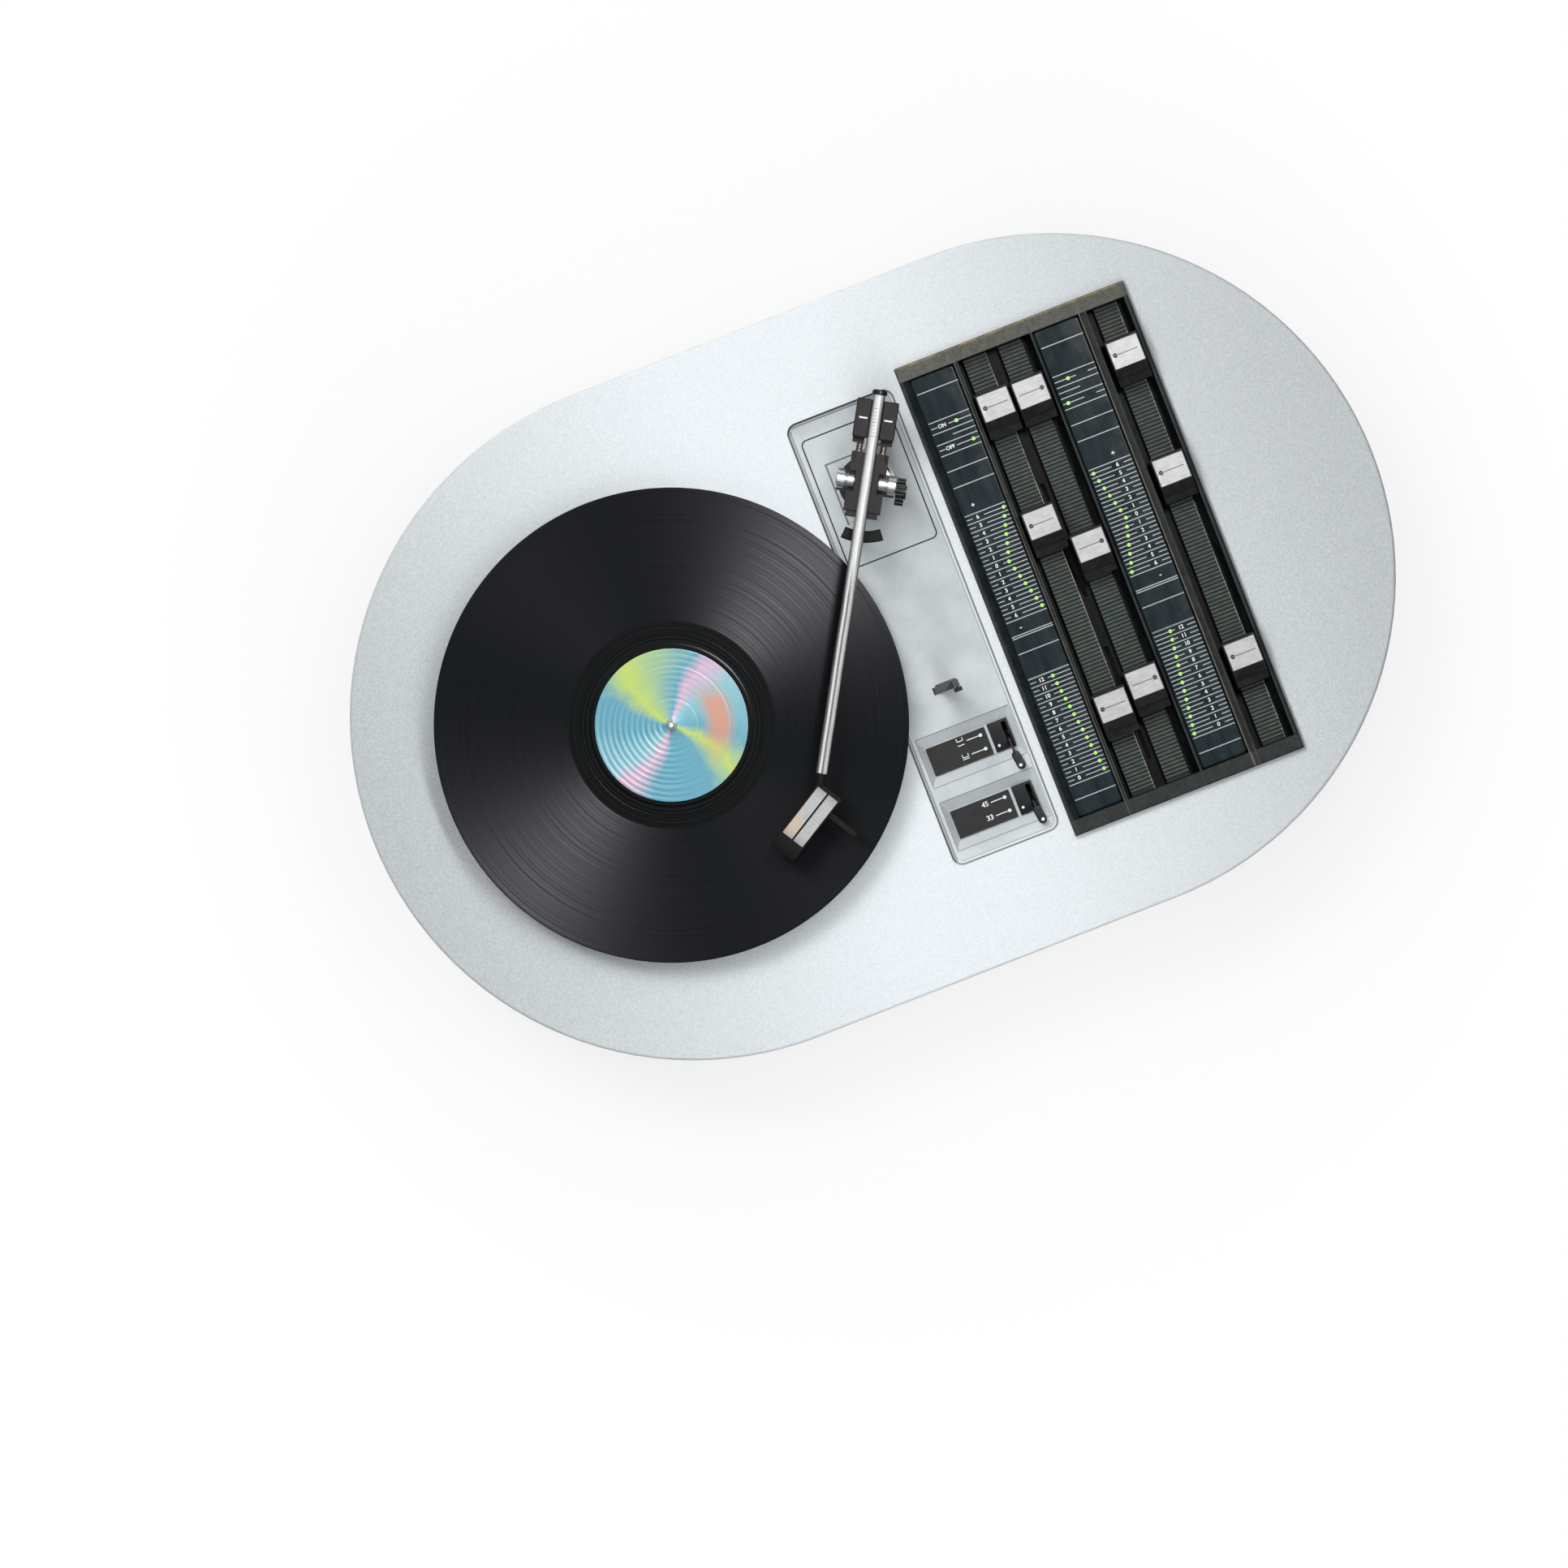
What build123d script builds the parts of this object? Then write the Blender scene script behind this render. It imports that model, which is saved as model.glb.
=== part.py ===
"""A flat stadium-shaped record player with a built-in slider desk.

The long axis is X, the listener sits at -Y and Z is up. The origin is the middle of the footprint,
on the surface that the feet stand on. Left is the platter, in the middle a strip with the tonearm
and two levers, right the slider desk with nine faders. All sizes are millimetres.
"""

from build123d import *
from math import atan2, cos, degrees, pi, radians, sin, sqrt
import os

# Casing
HALF_SPAN = 122.0  # half the straight length, from the middle to the centre of an end arc
END_R = 218.0  # radius of the two round ends
FOOT_H = 12.0
SPLIT_Z = 34.0  # where the deck shell meets the base pan
DECK_Z = 76.0  # top of the deck
WALL = 3.0
PAN_INSET = 24.0  # how far the pan's floor draws in from the deck's outline
EDGE_R = 2.0

# Record and platter
SPINDLE_X = -137.0
RECORD_R = 150.5
RECORD_T = 1.8
LABEL_R = 48.5
PLATTER_R = 147.0
PLATTER_Z = 78.5
PLATTER_T = 10.0
MAT_T = 2.5
SPINDLE_R = 3.6
PIN_R = 3.0  # the spindle above the record
RUNNING_GAP = 0.05
SUB_R = 60.0
SUB_Z = 54.0
SUB_T = 12.0
PULLEY_R = 5.8
PULLEY_AT = (-62.0, 62.0)
BELT_T = 0.6
BELT_H = 5.0

# Strip with the arm and the levers
STRIP_X = (-2.0, 70.0)
STRIP_HALF_Y = 150.0
STRIP_CORNER_R = 7.0
STRIP_BEVEL = 3.0
STRIP_DEPTH = 1.6
POCKET_DEPTH = 5.0
LEVER_X = 59.3
LEVER_TILT = 22.0

# Tonearm
PIVOT = (33.5, 98.0)
ARM_ANGLE = 60.0  # the way the rear of the arm points, from +X
ARM_Z = 109.0
PITCH_Z = 107.0
TUBE_R = 3.8
TUBE_BORE_R = 3.3
TUBE_REAR = 56.0
TUBE_FRONT = -186.0
HEAD_AT = (-214.3, 3.0)
HEAD_TURN = 150.7
LIFT_R = (30.5, 38.0)
LIFT_GAP = 3.3
REST_AT = (33.5, -40.0)

# Slider desk
DESK_X = (76.0, 231.5)
DESK_HALF_Y = 158.8
DESK_TOP = 80.0
DESK_BOTTOM = 61.0
CHANNEL_Z = 66.0
CHANNEL_HALF_Y = 149.0
LIP = 1.5
RIB_PITCH = 2.5
RIB_H = 1.0
COLUMNS = {"a": 128.2, "b": 152.0, "c": 217.0}
STEM_OFFSET = 9.2  # from the middle of a cap to its stem
STEM_BOTTOM = 55.0
CAP_TOP = 91.0

# Each fader: column, place of its index line along Y, and its travel down and up from there.
FADERS = {
    "fader_power": ("a", 114.5, -15.0, 0.0),
    "fader_bass": ("a", 34.5, -49.0, 18.0),
    "fader_volume_left": ("a", -90.0, -35.0, 31.5),
    "fader_selector": ("b", 114.0, -15.0, 0.0),
    "fader_treble": ("b", 9.8, -25.3, 41.7),
    "fader_volume_right": ("b", -83.0, -42.0, 24.0),
    "fader_mode": ("c", 115.8, -15.0, 0.0),
    "fader_balance": ("c", 36.0, -51.0, 16.0),
    "fader_headphones": ("c", -89.0, -36.0, 30.0),
}

RECORD_Z = PLATTER_Z + PLATTER_T + MAT_T
RECORD_TOP = RECORD_Z + RECORD_T
LOW = (Align.CENTER, Align.CENTER, Align.MIN)
ARM = Pos(PIVOT[0], PIVOT[1], 0) * Rot(0, 0, ARM_ANGLE)
HEAD = ARM * Pos(HEAD_AT[0], HEAD_AT[1], 0) * Rot(0, 0, HEAD_TURN)
SPINDLE = Pos(SPINDLE_X, 0, 0)


def block(x0, x1, y0, y1, z0, z1):
    """A box between two corners."""
    size = (x1 - x0, y1 - y0, z1 - z0)
    return Pos((x0 + x1) / 2, (y0 + y1) / 2, z0) * Box(*size, align=LOW)


def rod(x, y, z0, z1, r):
    """An upright cylinder."""
    return Pos(x, y, z0) * Cylinder(r, z1 - z0, align=LOW)


def cross_rod(y0, y1, x, z, r):
    """A cylinder along Y."""
    return Pos(x, y0, z) * Rot(-90, 0, 0) * Cylinder(r, y1 - y0, align=LOW)


def turned(points):
    """A solid of revolution about Z from (radius, height) points."""
    wires = Polyline(*[(r, 0, z) for r, z in points], close=True)
    return revolve(make_face(wires), Axis.Z)


def along_x(points, x0, x1):
    """A (y, z) outline drawn out along X."""
    wires = Polyline(*[(x0, y, z) for y, z in points], close=True)
    return extrude(make_face(wires), amount=x1 - x0, dir=(1, 0, 0))


def along_y(points, y0, y1):
    """An (x, z) outline drawn out along Y."""
    wires = Polyline(*[(x, y0, z) for x, z in points], close=True)
    return extrude(make_face(wires), amount=y1 - y0, dir=(0, 1, 0))


def stadium(inset, z):
    """The deck's outline, drawn in by inset, at height z."""
    return Pos(0, 0, z) * SlotCenterToCenter(2 * HALF_SPAN, 2 * (END_R - inset))


def plate(cx, cy, w, h, r, z0, z1):
    """A plate with rounded corners."""
    return extrude(Pos(cx, cy, z0) * RectangleRounded(w, h, r), amount=z1 - z0)


def tapered(x0, x1, y0, y1, z0, z1, spread):
    """A rectangular pocket that widens by spread, along X and along Y, on each side from z0 up to z1."""
    cx, cy = (x0 + x1) / 2, (y0 + y1) / 2
    low = Pos(cx, cy, z0) * Rectangle(x1 - x0, y1 - y0)
    high = Pos(cx, cy, z1) * Rectangle(x1 - x0 + 2 * spread[0], y1 - y0 + 2 * spread[1])
    return loft([low, high])


def top_edges(shape, z):
    """The edges that lie in the plane at height z."""
    return [e for e in shape.edges() if abs(e.bounding_box().min.Z - z) < 1e-4
            and abs(e.bounding_box().max.Z - z) < 1e-4]


def save(name, *shapes):
    """Writes one node, which may hold several separate solids."""
    solids = [s for shape in shapes for s in shape.solids()]
    whole = solids[0] if len(solids) == 1 else Compound(children=solids)
    export_step(whole, f"parts/{name}.step")


# Casing

STRIP_CX = sum(STRIP_X) / 2
STRIP_W = STRIP_X[1] - STRIP_X[0]
DESK_CX = sum(DESK_X) / 2
DESK_W = DESK_X[1] - DESK_X[0]
REAR_PANEL_X = (-62.0, 62.0)
REAR_PANEL_Z = (41.0, 65.0)
POSTS = [(sx * x, sy * y) for x, y in ((250.0, 120.0), (110.0, 175.0)) for sx in (-1, 1) for sy in (-1, 1)]
BEARER = (-185.0, -20.0, -95.0, 95.0)  # the plate that carries the bearing and the motor
BEARER_Z = 36.0
BEARER_POSTS = [(x, y) for x in (-178.0, -27.0) for y in (-88.0, 88.0)]


def deck_shell():
    """The upper half: a top plate with an upright wall, open to the platter, the strip and the desk."""
    outer = extrude(stadium(0, SPLIT_Z), amount=DECK_Z - SPLIT_Z)
    outer = fillet(top_edges(outer, DECK_Z), EDGE_R)
    inner = extrude(stadium(WALL, SPLIT_Z), amount=DECK_Z - WALL - SPLIT_Z)
    shell = outer - inner
    for x, y in POSTS:
        shell += rod(x, y, SPLIT_Z + 1, DECK_Z - WALL + 0.5, 5)
        shell -= rod(x, y, SPLIT_Z, SPLIT_Z + 20, 1.6)
    shell -= rod(SPINDLE_X, 0, 60, 90, 36)
    shell -= plate(STRIP_CX, 0, STRIP_W, 2 * STRIP_HALF_Y, STRIP_CORNER_R, 60, 90)
    shell -= block(DESK_X[0] + LIP, DESK_X[1] - LIP, LIP - DESK_HALF_Y, DESK_HALF_Y - LIP, 60, 90)
    shell -= block(*REAR_PANEL_X, END_R - 10, END_R + 10, *REAR_PANEL_Z)
    return shell


def base_pan():
    """The dished lower half, whose sides draw in to a flat floor."""
    outer = loft([stadium(PAN_INSET, FOOT_H), stadium(0, SPLIT_Z)])
    inner = loft([stadium(PAN_INSET + 1.2, FOOT_H + WALL), stadium(WALL, SPLIT_Z)])
    pan = outer - inner
    for x, y in POSTS:
        pan += rod(x, y, FOOT_H + 1, SPLIT_Z, 5.5)
        pan -= rod(x, y, FOOT_H - 1, SPLIT_Z + 1, 2.1)
        pan -= rod(x, y, FOOT_H - 1, FOOT_H + 6, 4)
    for x, y in BEARER_POSTS:
        pan += rod(x, y, FOOT_H + 1, BEARER_Z, 5)
        pan -= rod(x, y, BEARER_Z - 14, BEARER_Z + 1, 1.5)
    for row in range(6):
        y = -75 + 30 * row
        pan -= plate(215, y, 70, 5, 2.4, FOOT_H - 1, FOOT_H + WALL + 1)
    return pan


def feet():
    """Four round rubber feet, hollow below, each on a short spigot."""
    outline = [(0, 5), (7, 5), (9, 0), (16, 0), (19, 3), (20, FOOT_H), (0, FOOT_H)]
    foot = turned(outline)
    return [Pos(x, y, 0) * foot for x in (-205, 205) for y in (-120, 120)]


def casing_screws():
    """Pan-head screws that hold the pan to the deck, in the pan's counterbores."""
    def screw(x, y):
        head = rod(x, y, FOOT_H + 3, FOOT_H + 6, 3.6)
        driver = rod(x, y, FOOT_H + 2, FOOT_H + 4.4, 1.3)
        return head - driver + rod(x, y, FOOT_H + 6, SPLIT_Z + 15, 1.55)
    return [screw(x, y) for x, y in POSTS]


INLET_X = -44.0
INLET_Z = 53.0
JACK_X = (4.0, 18.0, 34.0, 48.0)
JACK_R = 4.15
SOCKET_Y = END_R - 16.0  # the socket plate stands this far in, so that nothing sticks out behind


def rear_panel():
    """The recessed socket tray behind the opening in the rear wall, with a flange on the wall's inside."""
    x0, x1 = REAR_PANEL_X
    z0, z1 = REAR_PANEL_Z
    wall = END_R - WALL
    tray = block(x0 - 2, x1 + 2, SOCKET_Y - 2, wall, z0 - 2, z1 + 2)
    tray += block(x0 - 8, x1 + 8, wall - 2, wall, z0 - 4, z1 + 4)
    tray -= block(x0, x1, SOCKET_Y, wall + 1, z0, z1)
    tray -= block(INLET_X - 10.8, INLET_X + 10.8, SOCKET_Y - 5, SOCKET_Y + 5, INLET_Z - 6.8, INLET_Z + 6.8)
    for x in JACK_X:
        tray -= cross_rod(SOCKET_Y - 5, SOCKET_Y + 5, x, INLET_Z, JACK_R)
    return tray


def mains_inlet():
    """A two-pin appliance inlet: a shroud with a figure-eight well and two pins."""
    y = SOCKET_Y
    body = block(INLET_X - 10.8, INLET_X + 10.8, y - 18, y + 1.5, INLET_Z - 6.8, INLET_Z + 6.8)
    well = Pos(INLET_X, y + 1.5, INLET_Z) * Rot(90, 0, 0) * SlotOverall(16.4, 8.8)
    body -= extrude(well, amount=12.5)
    for side in (-1, 1):
        body += cross_rod(y - 11.5, y - 1, INLET_X + side * 4.3, INLET_Z, 1.2)
    return body


def phono_sockets():
    """Four coaxial jacks, each a collar with a flange and an insulated centre."""
    y = SOCKET_Y
    jacks = []
    for x in JACK_X:
        jack = cross_rod(y - 10, y + 9, x, INLET_Z, JACK_R)
        jack += cross_rod(y, y + 1.2, x, INLET_Z, 6)
        jack -= cross_rod(y + 2, y + 10, x, INLET_Z, 1.65)
        jacks.append(jack)
    return jacks


# Drive


def bearer_plate():
    """A steel plate on four posts, with holes for the bearing and the motor."""
    x0, x1, y0, y1 = BEARER
    shape = plate((x0 + x1) / 2, 0, x1 - x0, y1 - y0, 10, BEARER_Z, BEARER_Z + 2.5)
    shape -= rod(SPINDLE_X, 0, 0, 90, 13)
    shape -= rod(*PULLEY_AT, 0, 90, 8)
    for x, y in BEARER_POSTS:
        shape -= rod(x, y, 0, 90, 1.8)
    for side in (-1, 1):
        shape -= rod(PULLEY_AT[0] + side * 12.5, PULLEY_AT[1], 0, 90, 1.6)
        shape -= rod(SPINDLE_X, side * 58, 0, 90, 24)
    return shape


def bearer_screws():
    """Screws of the plate and of the motor."""
    screws = []
    for x, y in BEARER_POSTS:
        head = rod(x, y, BEARER_Z + 2.5, BEARER_Z + 4.7, 3.2)
        screws.append(head + rod(x, y, BEARER_Z - 10, BEARER_Z + 2.5, 1.45))
    for side in (-1, 1):
        x, y = PULLEY_AT[0] + side * 12.5, PULLEY_AT[1]
        head = rod(x, y, BEARER_Z + 2.5, BEARER_Z + 4.5, 3)
        screws.append(head + rod(x, y, BEARER_Z, BEARER_Z + 2.5, 1.5))
    return screws


def bearing_housing():
    """The well that the spindle turns in: a flange on the plate and a blind sleeve below it."""
    bore = SPINDLE_R + RUNNING_GAP
    z0 = FOOT_H + 5
    flange_z = BEARER_Z + 2.5
    outline = [(0, z0), (9, z0), (12, z0 + 3), (12, flange_z), (24, flange_z), (24, flange_z + 3),
               (14, flange_z + 6), (14, SUB_Z - 1), (bore, SUB_Z - 1), (bore, z0 + 3), (0, z0 + 3)]
    return SPINDLE * turned(outline)


def spindle():
    """The shaft from the bottom of the well, through the record, to the narrower pin on top."""
    z0 = FOOT_H + 8.2
    shoulder = RECORD_TOP + 0.6
    top = RECORD_TOP + 10
    outline = [(0, z0), (SPINDLE_R - 1, z0), (SPINDLE_R, z0 + 2), (SPINDLE_R, shoulder),
               (PIN_R, shoulder + 0.6), (PIN_R, top - 3), (PIN_R - 0.7, top - 1.1), (1.2, top), (0, top)]
    return SPINDLE * turned(outline)


def sub_platter():
    """The belt-driven inner platter, with a crowned rim and a hub up to the platter."""
    z, t = SUB_Z, SUB_T
    hub = 30
    outline = [(SPINDLE_R, z + 3), (14, z + 3), (16, z), (20, z), (20, z + t - 4), (SUB_R - 6, z + t - 4),
               (SUB_R - 6, z), (SUB_R - 1, z), (SUB_R, z + 1), (SUB_R, z + t - 1), (SUB_R - 1, z + t),
               (hub, z + t), (hub, PLATTER_Z + 4), (SPINDLE_R, PLATTER_Z + 4)]
    return SPINDLE * turned(outline)


def platter():
    """The cast platter: a heavy rim, a web with a seat for the hub, and a shallow dish for the mat."""
    z, t, r = PLATTER_Z, PLATTER_T, PLATTER_R
    outline = [(SPINDLE_R, z + 4), (32, z + 4), (34, z), (40, z), (42, z + 5), (r - 14, z + 5), (r - 12, z),
               (r - 1, z), (r, z + 1), (r, z + t - 1), (r - 1, z + t), (SPINDLE_R, z + t)]
    return SPINDLE * turned(outline)


def platter_mat():
    """The rubber mat, with a raised outer band and concentric grooves."""
    z = PLATTER_Z + PLATTER_T
    outline = [(SPINDLE_R + 0.2, z), (145, z), (145, z + MAT_T)]
    for r in range(138, 60, -12):
        outline += [(r, z + MAT_T), (r - 1, z + MAT_T - 0.8), (r - 3, z + MAT_T - 0.8), (r - 4, z + MAT_T)]
    outline += [(52, z + MAT_T), (51, z + MAT_T - 0.6), (SPINDLE_R + 0.2, z + MAT_T - 0.6)]
    return SPINDLE * turned(outline)


def record():
    """A twelve-inch disc: a rim bead, a thinner grooved band, a run-out land and a label seat."""
    z, top = RECORD_Z, RECORD_TOP
    groove = top - 0.25
    outline = [(SPINDLE_R, z), (RECORD_R - 0.8, z), (RECORD_R, z + RECORD_T / 2), (RECORD_R - 0.8, top),
               (RECORD_R - 3, top), (RECORD_R - 5, groove), (62, groove), (61, groove - 0.15),
               (52, groove - 0.15), (51, top - 0.1), (LABEL_R + 0.3, top - 0.1), (LABEL_R, top - 0.2),
               (SPINDLE_R, top - 0.2)]
    return SPINDLE * turned(outline)


def record_label():
    """The round paper label, let into the record's seat."""
    z = RECORD_TOP - 0.2
    return SPINDLE * turned([(SPINDLE_R, z), (LABEL_R, z), (LABEL_R, z + 0.2), (SPINDLE_R, z + 0.2)])


def drive_motor():
    """The motor can under the plate, with a shoulder through its hole."""
    x, y = PULLEY_AT
    outline = [(0, FOOT_H + 4), (4, FOOT_H + 4), (4, FOOT_H + 6), (16, FOOT_H + 6), (18, FOOT_H + 8),
               (18, BEARER_Z), (7.5, BEARER_Z), (7.5, BEARER_Z + 4), (1.55, BEARER_Z + 4),
               (1.55, BEARER_Z - 4), (0, BEARER_Z - 4)]
    can = Pos(x, y, 0) * turned(outline)
    for side in (-1, 1):
        can -= rod(x + side * 12.5, y, BEARER_Z - 6, BEARER_Z + 1, 1.5)
    return can


def motor_pulley():
    """A stepped pulley on its shaft: the lower step for 33, the upper for 45 turns a minute."""
    x, y = PULLEY_AT
    z = SUB_Z - 2
    upper = PULLEY_R * 1.35
    outline = [(0, BEARER_Z - 3.5), (1.5, BEARER_Z - 3.5), (1.5, z - 3), (8, z - 3), (8, z - 1),
               (PULLEY_R, z), (PULLEY_R, z + 7.5), (upper, z + 8), (upper, z + 14),
               (9, z + 15), (9, z + 17), (0, z + 17)]
    return Pos(x, y, 0) * turned(outline)


def drive_belt():
    """A flat belt round the inner platter and the pulley, standing a hair clear of both."""
    gap = 0.3
    dx, dy = PULLEY_AT[0] - SPINDLE_X, PULLEY_AT[1]
    span = sqrt(dx * dx + dy * dy)
    turn = degrees(atan2(dy, dx))

    def loop(grow):
        big, small = SUB_R + gap + grow, PULLEY_R + gap + grow
        lean = (big - small) / span
        up = sqrt(1 - lean * lean)
        a, b = (big * lean, big * up), (span + small * lean, small * up)
        c, d = (b[0], -b[1]), (a[0], -a[1])
        edges = [Line(a, b), ThreePointArc(b, (span + small, 0), c), Line(c, d), ThreePointArc(d, (-big, 0), a)]
        return make_face(edges)
    ring = extrude(loop(BELT_T), amount=BELT_H) - extrude(loop(0), amount=BELT_H)
    return Pos(SPINDLE_X, 0, SUB_Z + 0.4) * Rot(0, 0, turn) * ring


# Electronics

def amplifier_board():
    """The circuit board on the pan's floor, with its heat sink and row of capacitors."""
    board = block(-10, 200, -150, 110, FOOT_H + WALL + 2, FOOT_H + WALL + 3.6)
    for x in (-4, 194):
        for y in (-144, 104):
            board += rod(x, y, FOOT_H + WALL, FOOT_H + WALL + 2, 3)
    top = FOOT_H + WALL + 3.6
    for n in range(9):
        board += block(20 + 8 * n, 22 + 8 * n, 60, 100, top, top + 22)
    board += block(20, 86, 60, 100, top, top + 3)
    return board


def capacitors():
    """Four upright reservoir capacitors."""
    top = FOOT_H + WALL + 3.6
    can = turned([(0, top), (10, top), (10, top + 20), (9, top + 21), (0, top + 21)])
    return [Pos(110 + 24 * n, 82, 0) * can for n in range(4)]


def transformer():
    """A laminated mains transformer with its two coil bulges."""
    x, y, z = 268, 20, FOOT_H + WALL + 1
    core = block(x - 21, x + 21, y - 32, y + 32, z, z + 38)
    coil = block(x - 30, x + 30, y - 20, y + 20, z + 4, z + 34)
    feet_plate = block(x - 21, x + 21, y - 40, y + 40, z - 1, z + 1)
    return core + coil + feet_plate


# Strip

POCKETS = ((-91.5, -72.0), (-134.0, -114.5))  # floor of the lift and the speed pocket along Y
POCKET_X = (7.0, 62.5)
POCKET_SPREAD = (4.0, 7.0)  # how far the pockets' walls lean out along X and Y
GUIDE_X = (49.0, 62.3)
LABEL_X = (7.3, 47.0)
STRIP_FLOOR = DECK_Z - STRIP_DEPTH
POCKET_FLOOR = STRIP_FLOOR - POCKET_DEPTH
PEDESTAL_H = 1.0
LEVER_PIVOT_Z = POCKET_FLOOR - 20.0


def control_strip():
    """The moulded strip: a dished plate with two sloping pockets, a lift guide and a pedestal."""
    under = DECK_Z - WALL
    body = plate(STRIP_CX, 0, STRIP_W - 0.3, 2 * STRIP_HALF_Y - 0.3, STRIP_CORNER_R, under - 1.5, DECK_Z)
    body += plate(STRIP_CX, 0, STRIP_W + 3, 2 * STRIP_HALF_Y + 3, STRIP_CORNER_R, under - 2.5, under)
    low = Pos(STRIP_CX, 0, STRIP_FLOOR) * RectangleRounded(
        STRIP_W - 2 * STRIP_BEVEL, 2 * (STRIP_HALF_Y - STRIP_BEVEL), STRIP_CORNER_R - STRIP_BEVEL)
    high = Pos(STRIP_CX, 0, DECK_Z) * RectangleRounded(
        STRIP_W - 0.8, 2 * STRIP_HALF_Y - 0.8, STRIP_CORNER_R - 0.4)
    body -= loft([low, high])
    for y0, y1 in POCKETS:
        body += block(4, 65.5, y0 - 6, y1 + 6, POCKET_FLOOR - 2, under)
        body -= tapered(*POCKET_X, y0, y1, POCKET_FLOOR, STRIP_FLOOR, POCKET_SPREAD)
        mid = (y0 + y1) / 2
        for side in (-1, 1):
            x0, x1 = sorted((LEVER_X + side * 2.2, LEVER_X + side * 4.4))
            body += block(x0, x1, mid - 4, mid + 4, LEVER_PIVOT_Z - 3.5, POCKET_FLOOR - 1)
        body -= Pos(LEVER_X - 9, mid, LEVER_PIVOT_Z) * Rot(0, 90, 0) * Cylinder(1.55, 18, align=LOW)
        body -= block(LEVER_X - 1.6, LEVER_X + 1.6, y0 + 1, y1 - 1, 50, 80)
    groove = plate(34.2, 93.8, 60.7, 87.7, 4, STRIP_FLOOR - 1.1, STRIP_FLOOR + 1)
    groove -= plate(34.2, 93.8, 58.9, 85.9, 3.2, STRIP_FLOOR - 2, STRIP_FLOOR + 2)
    body -= groove
    body += plate(33.5, 98, 38, 39, 3, STRIP_FLOOR - 0.5, STRIP_FLOOR + PEDESTAL_H)
    body -= rod(*LIFT_POST, 0, 90, 2.6)
    body += rod(*LIFT_POST, 55, STRIP_FLOOR, 5) - rod(*LIFT_POST, 0, 90, 2.6)
    body -= rod(PIVOT[0], PIVOT[1], 60, 90, 7)
    return body


LIFT_POST = (PIVOT[0] + 34.2 * cos(radians(240)), PIVOT[1] + 34.2 * sin(radians(240)))


def label_plates():
    """The two dark printed plates in the pockets."""
    return [plate(sum(LABEL_X) / 2, (y0 + y1) / 2 - 0.3, LABEL_X[1] - LABEL_X[0], y1 - y0 - 1, 0.6,
                  POCKET_FLOOR, POCKET_FLOOR + 1.2) for y0, y1 in POCKETS]


def lever_guides():
    """The two slotted guide blocks that the levers come through, slightly domed along Y."""
    guides = []
    for y0, y1 in POCKETS:
        mid = (y0 + y1) / 2
        outline = [(y0 + 0.2, POCKET_FLOOR), (y0 + 0.2, POCKET_FLOOR + 1.6), (mid - 5, POCKET_FLOOR + 2.5),
                   (mid + 5, POCKET_FLOOR + 2.5), (y1 - 0.2, POCKET_FLOOR + 1.6), (y1 - 0.2, POCKET_FLOOR)]
        guide = along_x(outline, *GUIDE_X)
        guide -= block(LEVER_X - 1.4, LEVER_X + 1.4, y0 + 2, y1 - 2, 50, 90)
        guides.append(guide)
    return guides


def lever(pocket, stem_y, grip_y):
    """A cranked lever: a boss and pin under the strip, a thin stem and a grip bent to the listener."""
    x = LEVER_X
    pivot_y = sum(pocket) / 2
    z = LEVER_PIVOT_Z
    top = STRIP_FLOOR + 1.6
    boss = Pos(x - 1.1, pivot_y, z) * Rot(0, 90, 0) * Cylinder(4, 2.2, align=LOW)
    pin = Pos(x - 5, pivot_y, z) * Rot(0, 90, 0) * Cylinder(1.5, 10, align=LOW)
    stem = along_x([(pivot_y - 2.4, z), (pivot_y + 2.4, z), (stem_y + 1.4, POCKET_FLOOR), (stem_y + 1.4, top + 1),
                    (grip_y + 4, top + 1), (grip_y + 4, top - 0.6), (stem_y - 1.4, top - 0.6),
                    (stem_y - 1.4, POCKET_FLOOR)],
                   x - 0.7, x + 0.7)
    grip = Pos(x + 0.8, grip_y, top - 0.8) * Rot(0, 0, 98) * SlotOverall(12.5, 5.4)
    grip = extrude(grip, amount=3.6)
    grip = fillet(top_edges(grip, top + 2.8), 1.2)
    return boss + pin + stem + grip


# Arm rest and latch

REST_TOP = ARM_Z - TUBE_R - 0.5


def arm_rest():
    """The post that the parked arm lies on, open to the record and with a stop on its far side."""
    x, y = REST_AT
    post = plate(x + 0.4, y, 13, 5.6, 1.2, STRIP_FLOOR, STRIP_FLOOR + 2)
    lower = Pos(x + 0.4, y, STRIP_FLOOR + 2) * RectangleRounded(9, 4.6, 1)
    upper = Pos(x + 0.4, y, REST_TOP - 6) * RectangleRounded(6.4, 4.2, 1)
    post += loft([lower, upper])
    z = REST_TOP
    shelf = [(x - 7.5, z - 1.2), (x + 4.6, z - 1.2), (x + 4.6, z + 10), (x + 8.6, z + 10),
             (x + 8.6, z - 4), (x + 4, z - 6), (x - 3, z - 6), (x - 8.5, z - 3.6)]
    post += along_y(shelf, y - 3.2, y + 1.6)
    return post - cross_rod(y - 4, y + 4, x + 6.6, REST_TOP + 8, 1.05)


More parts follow.
